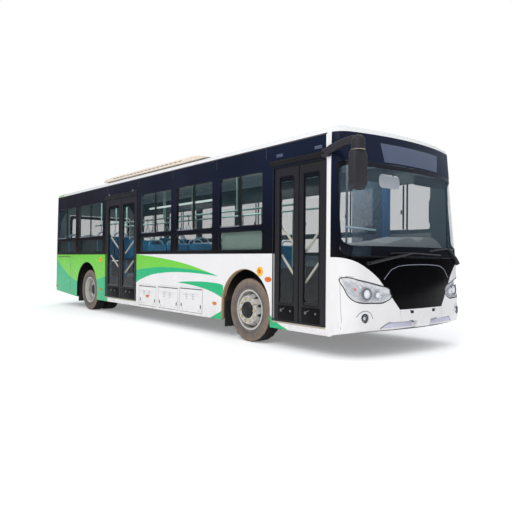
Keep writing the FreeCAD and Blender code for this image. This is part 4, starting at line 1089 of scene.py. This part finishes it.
def hatch_details():
    """Painted shadow lines along the hinge, edge seams, blank louvres and latches on the three service
    hatches.
    """
    for end in ("front", "middle", "rear"):
        node, body = "service_hatch_" + end, "hatch_" + end
        low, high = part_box(node)
        edges, louvres, latches = shapes(3)
        top, foot = high.z - 0.012, low.z + 0.02
        # painted shadow: the two dark lines along the top stand in for the shade above and below the hinge;
        # the upright lines at the ends are seams
        edges.on_wall([(low.x + 0.004, top - 0.022), (high.x - 0.004, top - 0.022)], 0.015, 0.003)
        edges.on_wall([(low.x + 0.004, top + 0.008), (high.x - 0.004, top + 0.008)], 0.006, 0.002)
        for x in (low.x + 0.003, high.x - 0.003):
            edges.on_wall([(x, foot), (x, top - 0.04)], 0.005, 0.0008)
        middle = 0.5 * (low.x + high.x) - 0.02
        for x in (middle - 0.11, middle + 0.09):
            for row in range(3):
                z = top - 0.115 - 0.036 * row
                louvres.box(x - 0.03, x + 0.03, -SIDE_Y - 0.004, -SIDE_Y, z - 0.005, z + 0.003, 0.0015)
        for x in (low.x + 0.055, high.x - 0.055):
            latches.oval(x, low.z + 0.105, 0.011, 0.034, [(0, 1.0), (0.004, 1.0), (0.006, 0.8)], count=20)
        if end == "rear":
            lens = Shape().oval(at(-3.02), 0.498, *SMALL_LENS, lens_profile(0.012))
            lens.done("hatch_marker_lens", "lens_amber", body=body)
        edges.done(node + "_edges", "flap_rubber", SEAM_AND_SHADOW_LINE, body)
        louvres.done(node + "_louvres", "side_paint", STEEL_TRIM, body)
        latches.done(node + "_latches", "mirror_black", HUB_BLACK, body)


# ---------------------------------------------------------------- mirrors and roof
def mirror_head(shell, glass, x, y, foot, top):
    """A rounded housing with its glass facing back."""
    shell.loft([[(x + u, y + v, z) for u, v in
                 rounded_loop(-0.06 * share, 0.06 * share, -0.115 * share, 0.115 * share, 0.034 * share, 4)]
                for z, share in ((foot, 0.66), (foot + 0.012, 0.72), (foot + 0.055, 1.0), (top - 0.045, 0.98),
                                 (top - 0.008, 0.84), (top, 0.78))])
    glass.loft([[(x - 0.0605 - out, y + u, v) for u, v in
                 rounded_loop(-grow, grow, foot + 0.16 - grow, top - 0.13 + grow, 0.03, 4)]
                for out, grow in ((0, 0.092), (0.003, 0.09), (0.0035, 0.06))])


def mirror_details():
    """The right mirror hangs from a flat arm ahead of its corner, the left one from a bracket."""
    shell, ring, glass = shapes(3)
    x, y = at(2.2549), -1.45
    mirror_head(shell, glass, x, y, 2.005, 2.44)
    dome = [(0.1 + 0.08 * sin(t), 0.08 * cos(t)) for t in turned(10, 0.5 * pi)]
    shell.lathe([(0, 0), (0, 0.06), (0.004, 0.08)] + dome + [(0.18, 0)], (x, y, 2.437), UPWARDS, 32)
    ring.lathe([(0, 0), (0, 0.066), (0.004, 0.083), (0.009, 0.083), (0.011, 0)], (x, y, 2.438), UPWARDS, 32)
    shell.loft([[(at(station), across + v, z + w)
                 for v, w in rounded_loop(-0.024, 0.024, -half, half, 0.012, 3)]
                for station, across, z, half in
                ((1.6, -1.262, 2.548, 0.045), (1.68, -1.29, 2.562, 0.05), (2.0, -1.4, 2.58, 0.044),
                 (2.16, -1.44, 2.578, 0.046), (2.2569, -1.45, 2.556, 0.05))])
    shell.box(at(1.53), at(1.67), -SIDE_Y - 0.034, -SIDE_Y + 0.002, 2.485, 2.6, 0.01)
    x, y = at(1.42), 1.45
    mirror_head(shell, glass, x, y, 1.77, 2.21)
    for z in (2.1, 1.88):
        shell.tube([(at(1.53), SIDE_Y + 0.005, z), (at(1.49), SIDE_Y + 0.09, z), (x, y, z)], 0.018, 12)
    shell.box(at(1.495), at(1.565), SIDE_Y + 0.001, SIDE_Y + 0.03, 1.79, 2.19, 0.008)
    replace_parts(shell.done("mirror_shells", "mirror_black"), "mirrors")
    ring.done("mirror_neck_ring", "rim_silver", SILL_TAN)
    glass.done("mirror_glasses", "glass", MIRROR_GLASS)


# Heights of the plain roof, and where roof_edge() puts them
ROOF_FROM = (2.79, 2.885, 2.95, 2.99, 3.045)
ROOF_TO = (2.79, 2.838, 2.868, 2.9, 3.045)


def roof_edge():
    """The roof with a tighter, lower edge than the plain solid has; its crown stays."""
    shape = Shape()
    shape.bm.from_mesh(nodes["roof"].data)
    for vert in shape.bm.verts:
        for low, high, to_low, to_high in zip(ROOF_FROM, ROOF_FROM[1:], ROOF_TO, ROOF_TO[1:]):
            if low < vert.co.z <= high:
                vert.co.z = to_low + (to_high - to_low) * (vert.co.z - low) / (high - low)
                break
    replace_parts(shape.done("roof_skin", "roof_paint"), "roof")


def roof_details():
    hatches, seams, vents, fans = shapes(4)
    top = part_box("roof")[1].z
    for x in (at(-0.55), at(-7.0)):
        hatches.loft([[(u, v, top + up) for u, v in rounded_loop(x - a, x + a, 0.05 - a, a - 0.05, 0.06)]
                      for a, up in ((0.45, -0.03), (0.44, 0.022), (0.4, 0.034), (0.2, 0.036))])
    low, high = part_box("roof_pod")
    for side in (RIGHT, LEFT):
        rail = [(at(x), side * SIDE_Y * 0.992, GUTTER + 0.012) for x in (-8.05, -4.0, 1.55)]
        seams.strip(rail, (0, side, 0.25), 0.012, 0.006)
        for i in range(18):
            x = low.x + 0.55 + 0.17 * i
            vents.strip([(x, side * high.y, high.z - 0.085), (x + 0.11, side * high.y, high.z - 0.085)],
                        (0, side, 0), 0.012, 0.002)
    for x in (1.25, 2.2, 3.1):
        for y in (-0.38, 0.38):
            fans.lathe([(-0.004, 0.19), (0.004, 0.2), (0.01, 0.19), (0.01, 0.17), (0.004, 0.165)],
                       (low.x + x, y, high.z - 0.01), UPWARDS, 32)
    hatches.done("roof_hatches", "roof_paint", WHITE_TRIM)
    seams.done("gutter_rails", "roof_paint", WHITE_TRIM)
    vents.done("pod_side_vents", "pod_tan", HUB_BLACK)
    fans.done("pod_fan_rings", "pod_tan", STEEL_TRIM)


# ---------------------------------------------------------------- rear end
def rear_end():
    bezels, reds, clears, ambers, display, handle, frit, seal, stop, louvres = shapes(10)

    def at_tail(y, z, lift=0.0):
        return on_end(TAIL, y, z, lift, -1.0)

    for side in (RIGHT, LEFT):
        middle = side * 1.0575
        rim = rounded_loop(middle - 0.073, middle + 0.073, 0.7, 1.29, 0.03, 4)
        bezels.on_end(TAIL, rim, 0.016, 0.004, 1, True, -1.0)
        for z, shape in ((1.205, reds), (1.075, ambers), (0.945, reds), (0.815, clears)):
            centre, normal = at_tail(middle, z)
            shape.lathe([(0, 0), (0, 0.058), (0.01, 0.058), (0.016, 0.05), (0.019, 0.03), (0.02, 0)],
                        centre, normal, 32)
            bezels.lathe([(0, 0.058), (0, 0.064), (0.012, 0.064), (0.013, 0.058)], centre, normal, 32)
        x = at_tail(side * 0.95, 0.43)[0].x
        reds.box(x - 0.008, x + 0.004, side * 0.95 - 0.06, side * 0.95 + 0.06, 0.412, 0.45, 0.004)
    loops = [dense_loop(rounded_loop(-0.88, 0.88, 1.58, 2.36, 0.07), 10),
             dense_loop(rounded_loop(-0.8, 0.8, 1.66, 2.28, 0.07), 10)]
    frit.loft([[at_tail(y, z, 0.003)[0] for y, z in loop] for loop in loops], caps=False)
    rim = dense_loop(rounded_loop(-0.905, 0.905, 1.555, 2.385, 0.085), 8)
    seal.on_end(TAIL, rim, 0.022, 0.005, 1, True, -1.0)
    patch(display, TAIL, dense_loop(rounded_loop(-0.55, 0.55, 2.48, 2.62, 0.02, 2), 12), 0.004, -1.0, rings=8)
    stop.on_end(TAIL, [(-0.45, 2.7), (0, 2.7), (0.45, 2.7)], 0.03, 0.008, 4, sign=-1.0)
    x = at_tail(0, 0.7)[0].x
    handle.tube([(x - out, y, 0.66) for out, y in
                 ((0.002, -0.09), (0.028, -0.08), (0.03, 0), (0.028, 0.08), (0.002, 0.09))], 0.009, 10)
    for row in range(5):
        for y in (-0.62, 0.02):
            z = 0.979 + 0.05 * row
            louvres.on_end(TAIL, [(y, z), (y + 0.3, z), (y + 0.6, z)], 0.012, 0.008, 3, sign=-1.0)
    stop.done("rear_stop_strip", "lens_red", RED_LENS)
    handle.done("rear_lid_handle", "mirror_black", HUB_BLACK, "rear_lid_panel")
    louvres.done("rear_lid_louvres", "rear_paint", body="rear_lid_panel")
    bezels.done("tail_bezels", "mirror_black", HUB_BLACK)
    reds.done("tail_red_lamps", "lens_red", RED_LENS)
    ambers.done("tail_amber_lamps", "lens_amber")
    clears.done("tail_clear_lamps", "lens_clear", LENS)
    frit.done("rear_window_border", "band_black", FRIT)
    seal.done("rear_window_seal", "flap_rubber", RUBBER)
    display.done("rear_blank_display", "band_black", DISPLAY)


# ---------------------------------------------------------------- cabin
def cabin_details():
    loops, straps, grips, lights, stops = shapes(5)
    for low, high in solids_of("passenger_seats"):
        half, top = 0.5 * (high.y - low.y) - 0.02, high.z
        hoop = [(0.03, 1.0, 0, -0.2), (0.012, 1.0, 0.01, -0.02), (0.005, 0.55, 0, 0.075)]
        left = [(low.x + x, half * share - short, top + z) for x, share, short, z in hoop]
        line = [(x, -y, z) for x, y, z in left] + left[::-1]
        middle = 0.5 * (low.y + high.y)
        loops.tube(smooth_line([(x, middle + y, z) for x, y, z in line], 4), 0.014, 8)
    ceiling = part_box("handrails")[1].z
    for side in (RIGHT, LEFT):
        y = side * 0.36
        for k in range(9):
            x = at(-7.3 + 0.86 * k)
            straps.box(x - 0.014, x + 0.014, y - 0.019, y + 0.019, 2.058, 2.102, 0.003)
            straps.box(x - 0.012, x + 0.012, y - 0.002, y + 0.002, 1.9, 2.062)
            triangle = [(-0.045, 1.82), (0, 1.792), (0.045, 1.82), (0.02, 1.885), (-0.02, 1.885)]
            grip = smooth_line([(x, y + v, z) for v, z in triangle], 4, closed=True)
            grips.tube(grip, 0.007, 8, closed=True, up=FORWARD)
        y = side * 0.47
        lights.box(at(-7.35), at(1.15), y - 0.04, y + 0.04, ceiling - 0.022, ceiling - 0.004, 0.004)
    lights.tube([(at(x), -1.0, 2.205) for x in (-3.42, -2.25, -1.08)], 0.018, 10)
    for x, y in ((-3.4, -0.36), (-0.7, -0.36), (-0.7, 0.36), (-4.9, 0.36)):
        stops.lathe([(-0.045, 0.022), (-0.04, 0.03), (0.04, 0.03), (0.045, 0.022)], (at(x), y, 1.55),
                    UPWARDS, 16)
    loops.done("seat_grab_loops", "seat_blue", PALE_LOOP)
    straps.done("strap_webbing", "driver_fabric")
    grips.done("strap_grips", "seat_blue", PALE_LOOP)
    lights.done("ceiling_lights", "roof_paint", STRIP_LIGHT)
    stops.done("pole_buttons", "dash_grey", BUTTON_YELLOW)


def padded_block(shape, rows):
    """A crowned pad through rows of (x, z, half width, half thickness, tilt) along its length."""
    rings = []
    for x, z, half, thick, tilt in rows:
        ring = []
        for t in turned(24):
            c, s = cos(t), sin(t)
            u = half * copysign(abs(c) ** 0.35, c)
            v = thick * copysign(abs(s) ** 0.6, s) * (1.0 + 0.1 * cos(3.0 * u / half))
            ring.append((x + v * sin(tilt), DRIVER_Y + u, z + v * cos(tilt)))
        rings.append(ring)
    return shape.loft(rings)


DRIVER_Y = (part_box("driver_seat")[0].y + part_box("driver_seat")[1].y) / 2
BACK_TILT = 1.45  # radians from lying flat


def driver_place():
    """A cushion, backrest and headrest in fabric, on a bellows base."""
    low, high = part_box("driver_seat")
    back, seat_z = low.x, low.z + 0.4
    pan, rest, head, base = shapes(4)
    padded_block(pan, [(back + 0.1 + 0.475 * t, seat_z + 0.052 + 0.012 * sin(pi * t),
                        0.225 - 0.03 * abs(2 * t - 1) ** 4, 0.05 * (1.0 - 0.55 * abs(2 * t - 1) ** 6), 0)
                       for t in (k / 12 for k in range(13))])
    padded_block(rest, [(back + 0.15 - 0.1 * t, seat_z + 0.115 + 0.55 * t,
                         0.215 - 0.035 * t ** 2 - 0.02 * (1 - t) ** 4,
                         0.048 * (1.0 - 0.5 * abs(2 * t - 1) ** 6), BACK_TILT)
                        for t in (k / 12 for k in range(13))])
    padded_block(head, [(back + 0.055 - 0.02 * t, high.z - 0.125 + 0.12 * t,
                         0.12 - 0.02 * abs(2 * t - 1) ** 3, 0.04 * (1.0 - 0.5 * abs(2 * t - 1) ** 4),
                         BACK_TILT)
                        for t in (k / 6 for k in range(7))])
    base.box(back + 0.18, back + 0.46, DRIVER_Y - 0.15, DRIVER_Y + 0.15, low.z, low.z + 0.05, 0.01)
    for k in range(6):
        base.lathe([(0, 0.105), (0.012, 0.13), (0.038, 0.13), (0.05, 0.105)],
                   (back + 0.32, DRIVER_Y, low.z + 0.05 + 0.05 * k), UPWARDS, 24)
    base.box(back + 0.12, back + 0.52, DRIVER_Y - 0.19, DRIVER_Y + 0.19, low.z + 0.35, seat_z + 0.002, 0.012)
    for shape, name in ((pan, "driver_cushion"), (rest, "driver_backrest"), (head, "driver_headrest")):
        shape.done(name, "driver_fabric", crease=60.0)
    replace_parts(base.done("driver_seat_base", "dash_grey"), "driver_seat")


def cab_details():
    """What shows round the driver through the windscreen and the side window."""
    mirror, arm, visor, hood, stalk, curtain, pane, ledge, rail = shapes(9)
    x = at(1.8)
    mirror.loft([[(x + out, u, v) for u, v in
                  rounded_loop(-0.44 - grow, -0.02 + grow, 2.175 - grow, 2.345 + grow, 0.06)]
                 for out, grow in ((-0.03, 0), (-0.022, 0.005), (-0.006, -0.01))])
    arm.tube([(x - 0.015, -0.17, 2.33), (x + 0.01, -0.17, 2.42), (x + 0.03, -0.17, 2.52)], 0.01, 8)
    visor.slab(rounded_loop(0.25, 1.02, 2.265, 2.4, 0.03), x + 0.02, x + 0.032, 0.002)
    hood.loft([[(at(1.6) + a, 0.68 + 0.26 * cos(t) * w, 1.19 + 0.1 * h * max(0, sin(t)) + a * 0.15)
                for t in (pi * k / 12 for k in range(13))]
               for a, w, h in ((0, 1.0, 0.8), (0.1, 1.05, 1.1), (0.22, 0.95, 0.7))])
    stalk.tube([(at(1.52), 0.8, 1.22), (at(1.5), 0.88, 1.235)], 0.008, 8)
    folds = [(at(0.79) + 0.012 * sin(k * 1.9), 0.92 + 0.018 * k) for k in range(12)]
    curtain.grid([[(u, v, z) for u, v in folds] for z in (1.42, 2.45)])
    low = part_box("driver_partition")[0]
    pane.box(low.x + 0.002, low.x + 0.008, low.y + 0.16, SIDE_Y - 0.06, 1.2, 2.5, 0.002)
    rows = []
    for y, z in ((-1.1, 1.42), (-0.8, 1.44), (-0.62, 1.47), (-0.4, 1.45), (-0.2, 1.5), (0.1, 1.55),
                 (0.3, 1.5), (0.5, 1.56), (0.78, 1.57), (0.98, 1.52), (1.1, 1.44)):
        front = on_end(NOSE, y, 1.34)[0].x - 0.1
        back = at(1.69 if y < -0.6 else 1.46)
        rows.append([(back, y, 1.2), (back + 0.03, y, z), (max(back + 0.05, front - 0.14), y, z - 0.02),
                     (front, y, 1.3), (front, y, 1.2)])
    ledge.loft(rows)
    rail.tube([(at(1.73), -1.04, 1.625), (at(1.73), -0.46, 1.61)], 0.014, 10)
    for y, top in ((-1.04, 2.38), (-0.78, 1.62), (-0.46, 1.61)):
        rail.tube([(at(1.73), y, 1.36), (at(1.73), y, top)], 0.013, 10)
    mirror.done("inside_mirror", "roof_paint", WHITE_TRIM)
    arm.done("inside_mirror_arm", "mirror_black", HUB_BLACK)
    visor.done("sun_visor", "mirror_black", HUB_BLACK)
    hood.done("instrument_hood", "dash_grey")
    stalk.done("column_stalk", "mirror_black", HUB_BLACK)
    curtain = curtain.done("side_curtain", "seat_blue", BLUE_PANEL)
    pane.done("partition_pane", "glass", PARTITION)
    ledge.done("dash_ledge", "dash_grey", GREY_PANEL)
    rail.done("entrance_rail", "seat_blue", PALE_LOOP)


# ---------------------------------------------------------------- under the body
def underside():
    tanks, straps, rod = shapes(3)
    for station in (-2.4, -3.3):
        middle = (at(station), 0.62, 0.198)
        tanks.lathe([(-0.34, 0), (-0.335, 0.05), (-0.315, 0.085), (-0.29, 0.1), (0.29, 0.1), (0.315, 0.085),
                     (0.335, 0.05), (0.34, 0)], middle, FORWARD, 24)
        for along in (-0.18, 0.18):
            band = ((-0.02, 0.103), (-0.02, 0.106), (0.02, 0.106), (0.02, 0.103))
            straps.lathe([(along + a, radius) for a, radius in band], middle, FORWARD, 24)
    rod.tube([(at(-0.16), -0.72, 0.342), (at(-0.16), 0, 0.33), (at(-0.16), 0.72, 0.342)], 0.018, 12)
    tanks.done("air_tanks", "battery_case")
    straps.done("air_tank_straps", "chassis_black")
    rod.done("track_rod", "chassis_black")


front_end()
side_details()
hatch_details()
mirror_details()
roof_edge()
roof_details()
rear_end()
cabin_details()
driver_place()
cab_details()
underside()

wheels()
windows()
doorways()


# ---------------------------------------------------------------- floor, light and camera
def plane(name, half, z):
    mesh = bpy.data.meshes.new(name)
    corners = [(-half, -half, z), (half, -half, z), (half, half, z), (-half, half, z)]
    mesh.from_pydata(corners, [], [(0, 1, 2, 3)])
    piece = bpy.data.objects.new(name, mesh)
    bpy.context.scene.collection.objects.link(piece)
    return piece


ground = plane("ground", 400.0, 0)
pale = surface("ground_pale", (250, 250, 250), 0.9, spread=0.01, grain=0.4, specular=0.0)
pale.set(emission_color=(1.0, 1.0, 1.0, 1.0), emission_strength=0.22)
ground.data.materials.append(pale.material)


def studio():
    """A white room for the camera; what gloss reflects is darker near the horizon."""
    world = bpy.data.worlds.new("studio")
    bpy.context.scene.world = world
    world.use_nodes = True
    tree = world.node_tree
    tree.nodes.clear()

    def add(kind):
        return tree.nodes.new("ShaderNode" + kind)

    split, ramp, rays, pick = add("SeparateXYZ"), add("ValToRGB"), add("LightPath"), add("MixShader")
    tree.links.new(add("TexCoord").outputs["Generated"], split.inputs[0])
    tree.links.new(split.outputs[2], ramp.inputs[0])
    stops = [(0, (0.1, 0.09, 0.085, 1.0)), (0.06, (0.055, 0.06, 0.08, 1.0)), (0.16, (0.16, 0.19, 0.26, 1.0)),
             (0.34, (0.75, 0.8, 0.9, 1.0)), (0.6, (1.15, 1.17, 1.2, 1.0))]
    fill_ramp(ramp, stops)
    for socket, colour, strength in ((1, ramp.outputs[0], 0.86), (2, (1.0, 1.0, 1.0, 1.0), 1.0)):
        light = add("Background")
        light.inputs["Strength"].default_value = strength
        if socket == 1:
            tree.links.new(colour, light.inputs["Color"])
        else:
            light.inputs["Color"].default_value = colour
        tree.links.new(light.outputs[0], pick.inputs[socket])
    tree.links.new(rays.outputs["Is Camera Ray"], pick.inputs[0])
    tree.links.new(pick.outputs[0], add("OutputWorld").inputs["Surface"])


studio()


def lamp(name, place, target, size, power, colour=(1.0, 1.0, 1.0)):
    """A soft square light that looks at a point."""
    data = bpy.data.lights.new(name, "AREA")
    data.shape, data.size, data.energy, data.color = "SQUARE", size, power, colour
    light = bpy.data.objects.new(name, data)
    light.visible_camera = False
    light.location = place
    light.rotation_euler = (Vector(target) - Vector(place)).to_track_quat("-Z", "Y").to_euler()
    bpy.context.scene.collection.objects.link(light)


lamp("key", (9.0, -14.0, 12.0), (0, 0, 1.0), 8.0, 1150.0, (1.0, 0.98, 0.95))
for station in (-6.4, -2.2, 0.9):
    x = at(station)
    lamp("cabin_%d" % round(-10 * station), (x, 0, 2.72), (x, 0, 0), 1.6, 26.0, (0.94, 0.98, 1.0))

FOCAL_PIXELS, PICTURE_PIXELS = 528.0, 512.0
camera_data = bpy.data.cameras.new("camera")
camera = bpy.data.objects.new("camera", camera_data)
bpy.context.scene.collection.objects.link(camera)
bpy.context.scene.camera = camera
camera_data.sensor_width = 36.0
camera_data.lens = FOCAL_PIXELS / PICTURE_PIXELS * camera_data.sensor_width
camera_data.clip_end = 1000.0
CAMERA_PLACE = Vector((at(6.082), -6.053, 1.209))
CAMERA_YAW, CAMERA_PITCH, CAMERA_ROLL = 2.454, 0.007, 0.009
ahead = Vector((cos(CAMERA_YAW) * cos(CAMERA_PITCH),
                sin(CAMERA_YAW) * cos(CAMERA_PITCH), sin(CAMERA_PITCH)))
right = ahead.cross(Vector((0, 0, 1))).normalized()
up = right.cross(ahead)
rolled_right = right * cos(CAMERA_ROLL) + up * sin(CAMERA_ROLL)
rolled_up = up * cos(CAMERA_ROLL) - right * sin(CAMERA_ROLL)
turn = Matrix((rolled_right, rolled_up, -ahead)).transposed()
camera.matrix_world = Matrix.Translation(CAMERA_PLACE) @ turn.to_4x4()

bpy.context.scene.view_settings.view_transform = "Standard"
